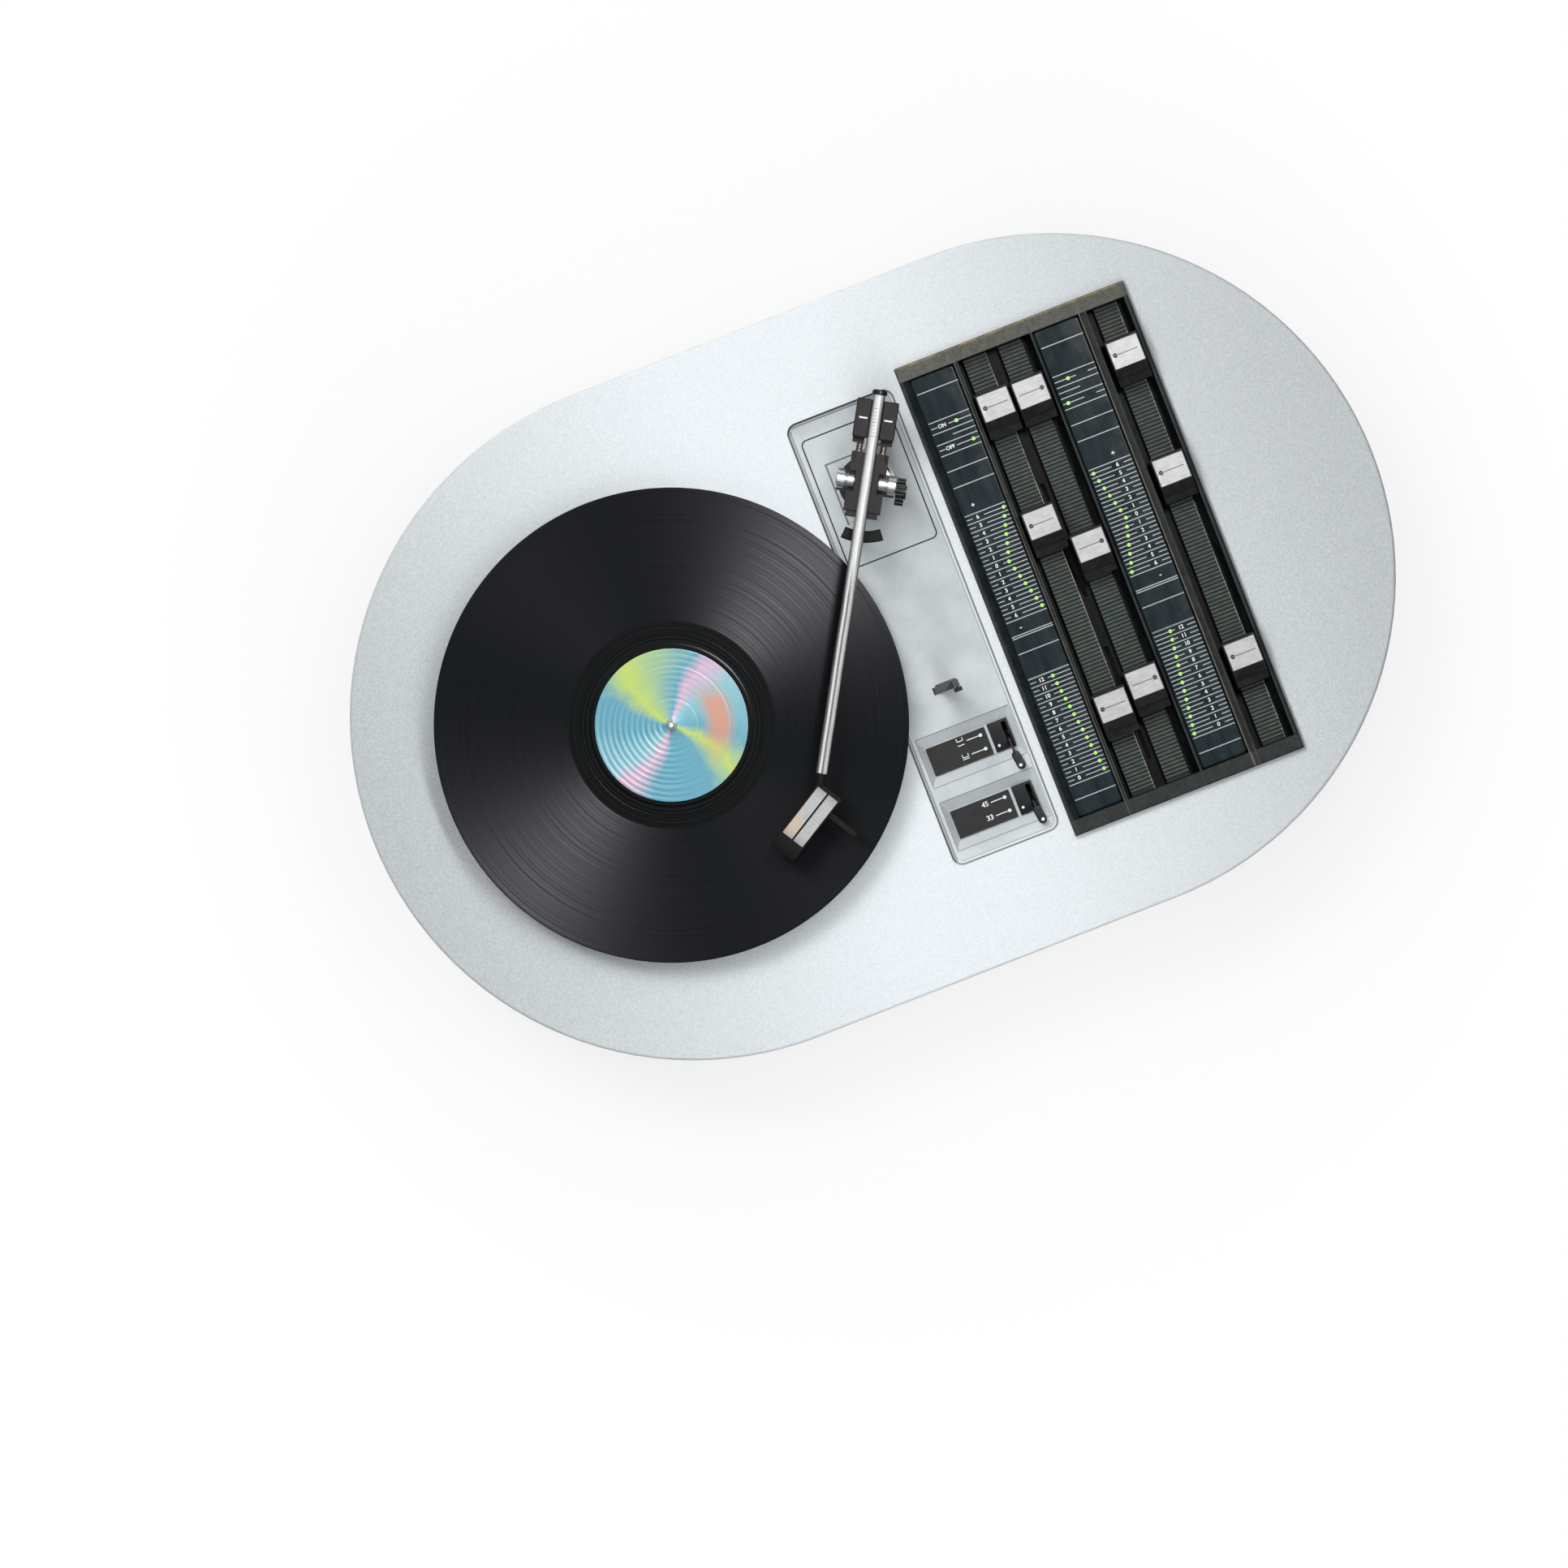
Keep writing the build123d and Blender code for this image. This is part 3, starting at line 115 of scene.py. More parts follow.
class Surface:
    """A Principled material and short ways to add nodes to it."""

    def __init__(self, name, colour, rough, metal=0.0, **sockets):
        self.material = bpy.data.materials.new(name)
        self.material.use_nodes = True
        self.tree = self.material.node_tree
        self.shader = self.tree.nodes["Principled BSDF"]
        self.output = self.tree.nodes["Material Output"]
        self.shader.inputs["Base Color"].default_value = (*colour, 1)
        self.shader.inputs["Roughness"].default_value = rough
        self.shader.inputs["Metallic"].default_value = metal
        for key, value in sockets.items():
            self.shader.inputs[key.replace("_", " ")].default_value = value
        self.place = self.add("ShaderNodeTexCoord").outputs["Object"]

    def add(self, kind, inputs=None, **settings):
        """A node, with its settings and with inputs that are values or other nodes' outputs."""
        node = self.tree.nodes.new(kind)
        for key, value in settings.items():
            setattr(node, key, value)
        for key, value in (inputs or {}).items():
            if isinstance(value, bpy.types.NodeSocket):
                self.tree.links.new(value, node.inputs[key])
            else:
                node.inputs[key].default_value = value
        return node

    def math(self, operation, a, b=0.0, c=0.0):
        return self.add("ShaderNodeMath", {0: a, 1: b, 2: c}, operation=operation).outputs[0]

    def split(self, vector):
        return self.add("ShaderNodeSeparateXYZ", {0: vector}).outputs

    def moved(self, location=(0, 0, 0), scale=(1, 1, 1)):
        """The object's own coordinates, scaled and shifted."""
        inputs = {"Vector": self.place, "Location": location, "Scale": scale}
        return self.add("ShaderNodeMapping", inputs).outputs[0]

    def noise(self, size, detail=2.0, rough=0.5, stretch=(1, 1, 1)):
        """Noise whose lumps are about size metres across, times stretch along each axis."""
        at = self.moved(scale=tuple(1 / (size * s) for s in stretch))
        inputs = {"Vector": at, "Scale": 1.0, "Detail": detail, "Roughness": rough}
        return self.add("ShaderNodeTexNoise", inputs).outputs[0]

    def rings(self, radius, per_mm, detail=2.0, rough=0.5):
        """Noise along a radius alone, with about per_mm lumps to a millimetre."""
        inputs = {"W": self.math("MULTIPLY", radius, per_mm / MM), "Scale": 1.0, "Detail": detail,
                  "Roughness": rough}
        return self.add("ShaderNodeTexNoise", inputs, noise_dimensions="1D").outputs[0]

    def along(self, place, angle):
        """How far a place is from the origin in a level direction."""
        way = (math.cos(angle), math.sin(angle), 0)
        return self.add("ShaderNodeVectorMath", {0: place, 1: way}, operation="DOT_PRODUCT").outputs["Value"]

    def blend(self, a, b, share):
        """Two values added, the first times share and the second times the rest."""
        return self.math("MULTIPLY_ADD", a, share, self.math("MULTIPLY", b, 1 - share))

    def all(self, *masks):
        """The product of masks: 1 only where each of them is 1."""
        out = masks[0]
        for mask in masks[1:]:
            out = self.math("MULTIPLY", out, mask)
        return out

    def ramp(self, value, *stops, interpolation="LINEAR"):
        """A colour ramp from (place, colour) stops."""
        node = self.add("ShaderNodeValToRGB", {"Fac": value})
        node.color_ramp.interpolation = interpolation
        marks = node.color_ramp.elements
        while len(marks) < len(stops):
            marks.new(0.5)
        for mark, (at, colour) in zip(marks, stops):
            mark.position = at
            mark.color = (*(colour if isinstance(colour, tuple) else (colour,) * 3), 1)
        return node.outputs[0]

    def between(self, value, low, high, out_low=0.0, out_high=1.0):
        """The value mapped from low..high to out_low..out_high, held at both ends."""
        inputs = {"Value": value, "From Min": low, "From Max": high, "To Min": out_low, "To Max": out_high}
        return self.add("ShaderNodeMapRange", inputs).outputs[0]

    def mix(self, factor, a, b):
        node = self.add("ShaderNodeMix", data_type="RGBA")
        sockets = {"Factor": factor, "A": a, "B": b}
        for socket in node.inputs:
            if socket.enabled and socket.name in sockets:
                value = sockets[socket.name]
                if isinstance(value, bpy.types.NodeSocket):
                    self.tree.links.new(value, socket)
                else:
                    socket.default_value = (*value, 1) if isinstance(value, tuple) else value
        return next(s for s in node.outputs if s.enabled)

    def set(self, socket, value):
        self.tree.links.new(value, self.shader.inputs[socket])

    def bump(self, height, strength, distance):
        node = self.add("ShaderNodeBump", {"Height": height, "Strength": strength, "Distance": distance})
        if self.shader.inputs["Normal"].is_linked:
            self.tree.links.new(self.shader.inputs["Normal"].links[0].from_socket, node.inputs["Normal"])
        self.set("Normal", node.outputs[0])

    def radius_from(self, centre):
        """The distance from an upright axis, in metres, and the angle round it, from 0 to 1."""
        at = self.moved(location=(-centre.x, -centre.y, 0))
        x, y, _ = self.split(at)
        flat = self.add("ShaderNodeCombineXYZ", {0: x, 1: y}).outputs[0]
        radius = self.add("ShaderNodeVectorMath", {0: flat}, operation="LENGTH").outputs["Value"]
        angle = self.add("ShaderNodeTexGradient", {"Vector": at}, gradient_type="RADIAL").outputs["Fac"]
        return radius, angle


def varied(surface, colour, size, amount, stretch=(1, 1, 1)):
    """Gives a surface soft patches of a little lighter and darker colour."""
    patches = surface.noise(size, 3.0, 0.6, stretch=stretch)
    dark = tuple(c * (1 - amount) for c in colour)
    light = tuple(min(1.0, c * (1 + amount)) for c in colour)
    out = surface.ramp(patches, (0.3, dark), (0.7, light))
    surface.set("Base Color", out)
    return out


# Materials


def deck_paint():
    """Silver-white lacquer with a fine sparkle, darkened from the middle towards both ends by painted shade."""
    s = Surface("deck_paint", (0.80, 0.85, 0.875), 0.45, Specular_IOR_Level=0.06)
    grain = s.noise(1.2 * MM, 2.0, 0.6)
    flakes = s.noise(0.5 * MM, 1.0, 0.5)
    both = s.blend(flakes, grain, 0.5)
    # Painted shade: the colour darkens from the middle towards both ends, standing in for the falloff of the
    # overhead light.
    middle = s.ramp(both, (0.40, (0.80, 0.84, 0.865)), (0.60, (0.90, 0.945, 0.97)))
    ends = s.ramp(both, (0.40, (0.60, 0.635, 0.65)), (0.60, (0.79, 0.825, 0.84)))
    x, _, _ = s.split(s.place)
    away = s.math("MAXIMUM", s.between(x, -60 * MM, -330 * MM), s.between(x, 40 * MM, 300 * MM))
    s.set("Base Color", s.mix(away, middle, ends))
    s.set("Roughness", s.between(grain, 0.3, 0.7, 0.40, 0.55))
    s.bump(grain, 0.28, 0.14 * MM)
    return s.material


def pan_plastic():
    """Matt grey moulding of the underside."""
    s = Surface("pan_plastic", (0.22, 0.235, 0.24), 0.62)
    varied(s, (0.22, 0.235, 0.24), 40 * MM, 0.12)
    s.bump(s.noise(0.8 * MM, 3.0), 0.25, 0.1 * MM)
    return s.material


def rubber(name, colour, rough=0.75):
    s = Surface(name, colour, rough)
    varied(s, colour, 6 * MM, 0.25)
    s.bump(s.noise(0.5 * MM, 2.0), 0.2, 0.08 * MM)
    return s.material


def metal(name, colour, rough, streak=(1, 1, 1), size=1.0 * MM, depth=0.06):
    """Bright or brushed metal, with fine streaks along the axis that streak lengthens."""
    s = Surface(name, colour, rough, 1.0)
    lines = s.noise(size, 3.0, 0.6, stretch=streak)
    s.set("Roughness", s.between(lines, 0.3, 0.7, rough * 0.75, rough * 1.3))
    s.set("Base Color", s.ramp(lines, (0.25, tuple(c * 0.88 for c in colour)), (0.75, colour)))
    s.bump(lines, depth, 0.05 * MM)
    return s.material


def turned_metal(name, colour, rough, centre):
    """Metal turned on a lathe about an upright axis."""
    s = Surface(name, colour, rough, 1.0)
    radius, _ = s.radius_from(centre)
    rings = s.rings(radius, 2.2)
    s.set("Roughness", s.between(rings, 0.3, 0.7, rough * 0.8, rough * 1.3))
    s.bump(rings, 0.12, 0.06 * MM)
    return s.material


def plastic(name, colour, rough, grain=0.5 * MM, patches=12 * MM, amount=0.12, depth=0.15, **sockets):
    """Moulded plastic with a fine spark-eroded grain and slight patches."""
    s = Surface(name, colour, rough, **sockets)
    varied(s, colour, patches, amount)
    worn = s.noise(patches * 0.6, 3.0)
    s.set("Roughness", s.between(worn, 0.3, 0.7, rough * 0.85, min(1.0, rough * 1.2)))
    s.bump(s.noise(grain, 2.0), depth, 0.06 * MM)
    return s.material


def vinyl():
    """Black pressed vinyl: grooves grouped in tracks, seen as rings and as a sheen across them."""
    s = Surface("vinyl", (0.003, 0.003, 0.004), 0.50, Anisotropic=0.92, Anisotropic_Rotation=0.25,
                Specular_IOR_Level=0.17, Specular_Tint=(0.96, 0.94, 1.0, 1))
    radius, _ = s.radius_from(SPINDLE)
    fine = s.rings(radius, 2.6, 3.0, 0.7)
    bands = s.rings(radius, 0.55, 3.0)
    s.set("Base Color", s.ramp(s.blend(bands, fine, 0.6), (0.35, (0.0002, 0.0008, 0.0014)),
                               (0.7, (0.0016, 0.0028, 0.0038))))
    s.set("Roughness", s.between(s.blend(bands, fine, 0.7), 0.3, 0.7, 0.40, 0.62))
    tangent = s.add("ShaderNodeTangent", direction_type="RADIAL", axis="Z").outputs[0]
    s.set("Tangent", tangent)
    s.bump(fine, 0.12, 0.05 * MM)
    return s.material


def vinyl_land():
    """The smooth run-out round the label, darker than the grooves, with a few fine rings."""
    s = Surface("vinyl_land", (0.003, 0.003, 0.004), 0.30, Specular_IOR_Level=0.05)
    radius, _ = s.radius_from(SPINDLE)
    rings = s.rings(radius, 1.3)
    s.set("Base Color", s.ramp(rings, (0.45, (0.0010, 0.0016, 0.0020)), (0.72, (0.008, 0.010, 0.011))))
    s.set("Roughness", s.between(rings, 0.3, 0.7, 0.24, 0.42))
    s.bump(rings, 0.2, 0.08 * MM)
    return s.material


def label_paper():
    """A printed label: a blue ground with soft wedges of pink, lime and orange round the hole."""
    s = Surface("label_paper", (0.1, 0.5, 0.65), 0.42, Coat_Weight=0.2, Coat_Roughness=0.3)
    radius, angle = s.radius_from(SPINDLE)
    millimetres = s.math("MULTIPLY", radius, 1000.0)
    sway = s.math("MULTIPLY", s.math("SUBTRACT", s.noise(9 * MM, 2.0), 0.5), 0.06)
    spiral = s.math("MULTIPLY", millimetres, 0.0012)
    around = s.math("FRACT", s.math("ADD", s.math("ADD", angle, sway), spiral))
    blue, pink, lime = (0.045, 0.33, 0.46), (0.66, 0.40, 0.56), (0.50, 0.66, 0.05)
    pale = (0.20, 0.50, 0.58)
    wedges = s.ramp(around, (0.0, blue), (0.10, pale), (0.14, pink), (0.20, blue), (0.34, blue),
                    (0.40, lime), (0.46, blue), (0.60, pale), (0.66, pink), (0.70, blue), (0.86, lime),
                    (0.93, blue))
    orange = (0.72, 0.22, 0.06)
    ring = s.math("MULTIPLY", s.between(millimetres, 20, 27), s.between(millimetres, 42, 34))
    arc = s.ramp(around, (0.36, 0.0), (0.47, 1.0), (0.56, 1.0), (0.64, 0.0))
    s.set("Base Color", s.mix(s.all(ring, arc, 0.8), wedges, orange))
    phase = s.math("MULTIPLY_ADD", millimetres, 1.75, s.math("MULTIPLY", sway, 30.0))
    ripple = s.math("SINE", phase)
    worn = s.ramp(angle, (0.0, 1.0), (0.12, 0.9), (0.24, 0.15), (0.55, 0.0), (0.66, 0.5), (0.74, 0.1),
                  (0.88, 0.4), (1.0, 1.0))
    s.bump(s.math("MULTIPLY", ripple, worn), 0.55, 0.18 * MM)
    return s.material


def strip_plastic():
    """The satin silver of the arm and lever strip, a little cloudy, with painted shade and painted highlight
    along its rims, and painted shade in its groove and at its pocket rims.
    """
    s = Surface("strip_plastic", (0.60, 0.645, 0.66), 0.45, Specular_IOR_Level=0.12)
    fine = s.noise(0.7 * MM, 2.0)
    both = s.blend(fine, s.noise(26 * MM, 3.0, 0.55), 0.35)
    bright = s.ramp(both, (0.36, (0.54, 0.575, 0.595)), (0.62, (0.67, 0.71, 0.73)))
    dull = s.ramp(both, (0.36, (0.48, 0.51, 0.53)), (0.62, (0.60, 0.635, 0.655)))
    x, y, z = s.split(s.place)
    height = s.math("SUBTRACT", z, STRIP_FLOOR)

    def level(start, end):
        """A mask by the height over the strip's floor, in millimetres."""
        return s.between(height, start * MM, end * MM)

    middle = s.all(s.between(y, 60 * MM, 15 * MM), s.between(y, -35 * MM, -5 * MM))
    face = s.mix(middle, bright, dull)

    # The slopes round the strip, painted as if lit from the rear left: painted shade on the rear and left
    # slopes, a painted highlight on the front and right ones, and a painted shade line at each slope's foot and
    # rim
    slope, foot, rim = level(0.04, 0.12), level(0.42, 0.34), level(1.10, 1.18)
    blur = 0.5 * MM
    shaded_side = s.math("MAXIMUM", s.between(x, STRIP_X[0], STRIP_X[0] - blur),
                       s.between(y, STRIP_Y, STRIP_Y + blur))
    lit_side = s.math("MAXIMUM", s.between(x, STRIP_X[1], STRIP_X[1] + blur),
                        s.between(y, -STRIP_Y, -STRIP_Y - blur))
    for side, band, foot_shade, rim_shade in (
            (shaded_side, (0.38, 0.40, 0.41), (0.20, 0.21, 0.22), (0.05, 0.055, 0.06)),
            (lit_side, (0.74, 0.77, 0.78), (0.34, 0.36, 0.37), (0.24, 0.255, 0.27))):
        face = s.mix(s.all(slope, side), face, band)
        face = s.mix(s.all(slope, foot, side), face, foot_shade)
        face = s.mix(s.all(rim, side), face, rim_shade)

    # The shadow line behind and to the left of the arm's pedestal
    from_pivot = (s.math("SUBTRACT", x, PIVOT.x), s.math("SUBTRACT", y, PIVOT.y))
    beside = [s.between(s.math("ABSOLUTE", way), half + 0.1 * MM, half - 0.1 * MM)
              for way, half in zip(from_pivot, PEDESTAL_HALF)]
    rear_left = s.math("MAXIMUM", s.between(from_pivot[0], -18.6 * MM, -19.2 * MM),
                       s.between(from_pivot[1], 19.2 * MM, 19.8 * MM))
    face = s.mix(s.all(*beside, level(0.1, 0.05), rear_left, 0.85), face, (0.10, 0.105, 0.11))

    # Painted shade in the groove round the arm's field, and along the rims of the lever pockets
    face = s.mix(s.all(level(-0.15, -0.5), s.between(y, 40 * MM, 45 * MM)), face, (0.030, 0.033, 0.036))
    in_pockets = s.between(y, POCKETS_REAR, POCKETS_REAR - 2 * MM)
    pocket_rim_shade = s.all(level(-0.02, -0.06), level(-0.55, -0.45), in_pockets)
    s.set("Base Color", s.mix(s.all(pocket_rim_shade, 0.6), face, (0.20, 0.21, 0.22)))
    s.bump(fine, 0.08, 0.08 * MM)
    return s.material


def desk_plastic():
    """The desk's tub: near-black, worn and brownish on its bars, with worn stripes on its rails that are also
    painted highlights, a brassy painted highlight along its rear edge and painted shade in its channels.
    """
    low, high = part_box("desk_bezel")
    s = Surface("desk_plastic", (0.02, 0.025, 0.028), 0.42, Specular_IOR_Level=0.04)
    x, y, z = s.split(s.place)
    base = s.ramp(s.noise(9 * MM, 4.0, 0.65), (0.35, (0.010, 0.014, 0.017)), (0.7, (0.027, 0.032, 0.034)))
    dusty = s.ramp(s.noise(3 * MM, 5.0, 0.7), (0.35, (0.088, 0.090, 0.078)), (0.7, (0.158, 0.155, 0.132)))
    top = s.between(z, high.z - 1.2 * MM, high.z - 0.2 * MM)
    rear = s.all(s.between(y, DESK_BAR_Y - 0.2 * MM, DESK_BAR_Y + 0.6 * MM), top)
    front = s.all(s.between(y, -DESK_BAR_Y, -DESK_BAR_Y - 1.0 * MM), top, 0.18)
    left = s.all(s.between(x, low.x + 3.4 * MM, low.x + 3.0 * MM), top, 0.12)
    colour = s.mix(s.math("MINIMUM", s.math("ADD", s.math("ADD", rear, front), left), 1.0), base, dusty)
    on_rail = s.between(z, RAIL_TOP - 0.4 * MM, RAIL_TOP + 0.4 * MM)
    patchy = s.between(s.noise(7 * MM, 4.0, 0.7), 0.36, 0.56)
    # The rail stripes are patchy wear and painted highlight on the rail tops.
    worn = s.all(on_rail, s.between(patchy, 0.0, 1.0, 0.55, 1.0))
    blur = 0.1
    for x0, x1, tone in RAILS:
        stripe = s.all(s.between(x, (x0 - blur) * MM, (x0 + blur) * MM),
                       s.between(x, (x1 + blur) * MM, (x1 - blur) * MM), worn)
        colour = s.mix(stripe, colour, tone)
    # Painted shade: the channel floors, deep between the rails, are darkened to nearly black.
    channel_shade = s.between(z, CHANNEL_FLOOR + 4.0 * MM, CHANNEL_FLOOR + 0.5 * MM)
    colour = s.mix(channel_shade, colour, (0.0015, 0.0018, 0.002))
    # Painted highlight: a brassy line along the rounded rear edge.
    edge = s.all(s.between(y, high.y - 1.7 * MM, high.y - 0.7 * MM),
                 s.between(z, high.z - 0.6 * MM, high.z - 0.3 * MM), patchy)
    brass = s.ramp(s.noise(2.2 * MM, 3.0), (0.3, (0.30, 0.19, 0.055)), (0.7, (0.50, 0.40, 0.20)))
    s.set("Base Color", s.mix(edge, colour, brass))
    s.set("Roughness", s.between(s.noise(5 * MM, 4.0), 0.3, 0.7, 0.32, 0.58))
    s.bump(s.noise(0.6 * MM, 3.0), 0.3, 0.1 * MM)
    return s.material


def scale_gloss():
    """Glossy blue-black of the two scales, with long faint streaks of painted reflection."""
    s = Surface("scale_gloss", (0.012, 0.02, 0.026), 0.22, Specular_IOR_Level=0.07)
    # Painted reflections: long streaks in the base colour.
    streaks = s.noise(7 * MM, 3.0, 0.6, stretch=(1, 9, 1))
    s.set("Base Color", s.ramp(streaks, (0.3, (0.010, 0.017, 0.021)), (0.72, (0.026, 0.038, 0.043))))
    s.set("Roughness", s.between(s.noise(12 * MM, 4.0, 0.7), 0.3, 0.7, 0.16, 0.32))
    s.bump(s.noise(9 * MM, 2.0, stretch=(1, 3, 1)), 0.08, 0.3 * MM)
    return s.material


def rib_plastic():
    """The ribbed strips: green-grey, with olive rib tops that are dusty and lighter as a painted highlight, and
    a worn, lighter right edge on two of them that is also a painted highlight.
    """
    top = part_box("ribbed_strips")[1].z
    s = Surface("rib_plastic", (0.03, 0.04, 0.038), 0.5, Specular_IOR_Level=0.05)
    x, _, z = s.split(s.place)
    # The rib tops are dust and painted highlight.
    crests = s.between(z, top - 0.9 * MM, top - 0.15 * MM)
    dark = s.ramp(s.noise(8 * MM, 3.0), (0.35, (0.020, 0.030, 0.030)), (0.7, (0.034, 0.046, 0.044)))
    dust_and_highlight = s.ramp(s.noise(6 * MM, 4.0, 0.7), (0.36, (0.080, 0.100, 0.094)), (0.66, (0.130, 0.148, 0.108)))
    colour = s.mix(crests, dark, dust_and_highlight)
    # The light edge lines are wear and painted highlight.
    scuff_and_highlight = s.between(s.noise(4 * MM, 4.0, 0.7), 0.42, 0.56, 0.25, 1.0)
    for edge in RIB_EDGES:
        line = s.all(s.between(x, (edge - 0.75) * MM, (edge - 0.55) * MM),
                     s.between(x, (edge + 0.3) * MM, (edge + 0.1) * MM), scuff_and_highlight)
        colour = s.mix(line, colour, (0.36, 0.38, 0.35))
    s.set("Base Color", colour)
    s.bump(s.noise(0.5 * MM, 3.0), 0.3, 0.08 * MM)
    return s.material


def cap_finish():
    """A fader: black moulded body below, brushed aluminium face above, with painted shade in the groove across
    the face.
    """
    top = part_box("fader_power")[1].z
    s = Surface("cap_finish", (0.6, 0.6, 0.6), 0.4, Specular_IOR_Level=0.12)
    _, _, z = s.split(s.place)
    face = s.between(z, top - CAP_PLATE + 0.02 * MM, top - CAP_PLATE + 0.06 * MM)
    # Painted shade: the line groove across the face is darkened.
    groove = s.between(z, top - 0.12 * MM, top - 0.04 * MM, 0.30, 1.0)
    brushed = s.noise(0.55 * MM, 4.0, 0.7, stretch=(14, 1, 1))
    smudge = s.noise(6 * MM, 3.0)
    metal_colour = s.ramp(s.blend(brushed, smudge, 0.7), (0.36, (0.36, 0.362, 0.365)),
                          (0.62, (0.53, 0.53, 0.535)))
    shaded = s.mix(groove, (0.20, 0.20, 0.21), metal_colour)
    body = s.ramp(s.noise(5 * MM, 3.0), (0.35, (0.018, 0.017, 0.018)), (0.7, (0.036, 0.034, 0.035)))
    s.set("Base Color", s.mix(face, body, shaded))
    s.set("Metallic", s.all(face, 0.10))
    s.set("Roughness", s.between(face, 0, 1, 0.45, 0.36))
    s.bump(s.all(brushed, face), 0.10, 0.06 * MM)
    return s.material


def lever_finish():
    """A lever: a brassy wire stem that ends in a black moulded grip."""
    grip_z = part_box("lift_lever")[1].z - GRIP_HEIGHT
    s = Surface("lever_finish", (0.5, 0.4, 0.2), 0.40, Specular_IOR_Level=0.10)
    _, _, z = s.split(s.place)
    grip = s.between(z, grip_z - 0.1 * MM, grip_z + 0.1 * MM)
    brass = s.ramp(s.noise(1.5 * MM, 3.0), (0.3, (0.36, 0.29, 0.15)), (0.7, (0.62, 0.54, 0.33)))
    black = s.ramp(s.noise(4 * MM, 3.0), (0.3, (0.012, 0.013, 0.015)), (0.7, (0.030, 0.032, 0.034)))
    s.set("Base Color", s.mix(grip, brass, black))
    s.set("Metallic", s.math("SUBTRACT", 1.0, grip))
    return s.material


def head_plate():
    """The headshell's pale plates: brushed grey with dull ends, specks, and cream on the front of one."""
    s = Surface("head_plate", (0.43, 0.43, 0.435), 0.45, Specular_IOR_Level=0.12)
    turn = ARM_ANGLE + HEAD_TURN
    place = s.moved(location=-arm_point(*HEAD_AT, 0))
    along, across = s.along(place, turn), s.along(place, turn + math.pi / 2)
    fine = s.noise(0.7 * MM, 4.0, 0.75)
    pale = s.ramp(fine, (0.30, (0.36, 0.36, 0.365)), (0.60, (0.56, 0.56, 0.565)))
    warm = s.ramp(fine, (0.30, (0.50, 0.42, 0.33)), (0.60, (0.64, 0.53, 0.42)))
    ragged = s.math("MULTIPLY", s.math("SUBTRACT", s.noise(6 * MM, 2.0), 0.5), 8 * MM)
    front = s.between(s.math("ADD", s.math("SUBTRACT", along, across), ragged), 6.0 * MM, 7.2 * MM)
    cream = s.all(front, s.between(across, -0.4 * MM, -0.8 * MM))
    ends = s.between(s.math("ABSOLUTE", along), 12 * MM, 18.5 * MM, 0.0, 0.45)
    tint = s.mix(ends, s.mix(cream, pale, warm), (0.17, 0.17, 0.175))
    specks = s.between(s.noise(1.0 * MM, 2.0), 0.67, 0.71)
    s.set("Base Color", s.mix(specks, tint, (0.10, 0.10, 0.10)))
    s.bump(fine, 0.2, 0.08 * MM)
    return s.material


def yoke_metal():
    """The bearing yoke: bright cheeks round the cups, on a black plate."""
    s = Surface("yoke_metal", (0.5, 0.5, 0.5), 0.24)
    _, _, z = s.split(s.place)
    cheek = s.between(z, CHEEK_Z - 0.2 * MM, CHEEK_Z + 0.2 * MM)
    fine = s.noise(0.5 * MM, 3.0)
    bright = s.ramp(fine, (0.3, (0.62, 0.62, 0.63)), (0.7, (0.82, 0.82, 0.83)))
    black = s.ramp(s.noise(4 * MM, 3.0), (0.3, (0.012, 0.012, 0.013)), (0.7, (0.030, 0.030, 0.031)))
    s.set("Base Color", s.mix(cheek, black, bright))
    s.set("Metallic", cheek)
    s.set("Roughness", s.between(fine, 0.3, 0.7, 0.18, 0.32))
    s.bump(fine, 0.08, 0.05 * MM)
    return s.material


def tube_chrome():
    """The arm's polished tube, with painted reflections: light and dark streaks, with a dark one that fades
    towards the pivot.
    """
    s = Surface("tube_chrome", (0.8, 0.8, 0.81), 0.20, 0.3)
    place = s.moved(location=-PIVOT)
    back, side = s.along(place, ARM_ANGLE), s.along(place, ARM_ANGLE + math.pi / 2)
    waver = s.math("MULTIPLY", s.math("SUBTRACT", s.noise(30 * MM, 2.0), 0.5), 0.8 * MM)
    across = s.between(s.math("ADD", side, waver), TUBE_R * MM, -TUBE_R * MM)
    # Painted reflections: the streaks across the tube are reflections of the room painted into the base colour.
    streaks = s.ramp(across, (0.0, 0.08), (0.08, 0.13), (0.17, 0.20), (0.24, 0.80), (0.33, 0.88),
                     (0.42, 0.45), (0.49, 0.07), (0.56, 0.20), (0.64, 0.66), (0.74, 0.90), (0.84, 0.62),
                     (0.91, 0.15), (1.0, 0.08))
    plain = s.ramp(across, (0.0, 0.10), (0.10, 0.20), (0.22, 0.62), (0.38, 0.80), (0.52, 0.68), (0.66, 0.84),
                   (0.80, 0.66), (0.92, 0.20), (1.0, 0.10))
    s.set("Base Color", s.mix(s.between(back, -72 * MM, -48 * MM), streaks, plain))
    fine = s.noise(0.4 * MM, 3.0)
    s.set("Roughness", s.between(fine, 0.3, 0.7, 0.16, 0.28))
    s.bump(fine, 0.05, 0.05 * MM)
    return s.material


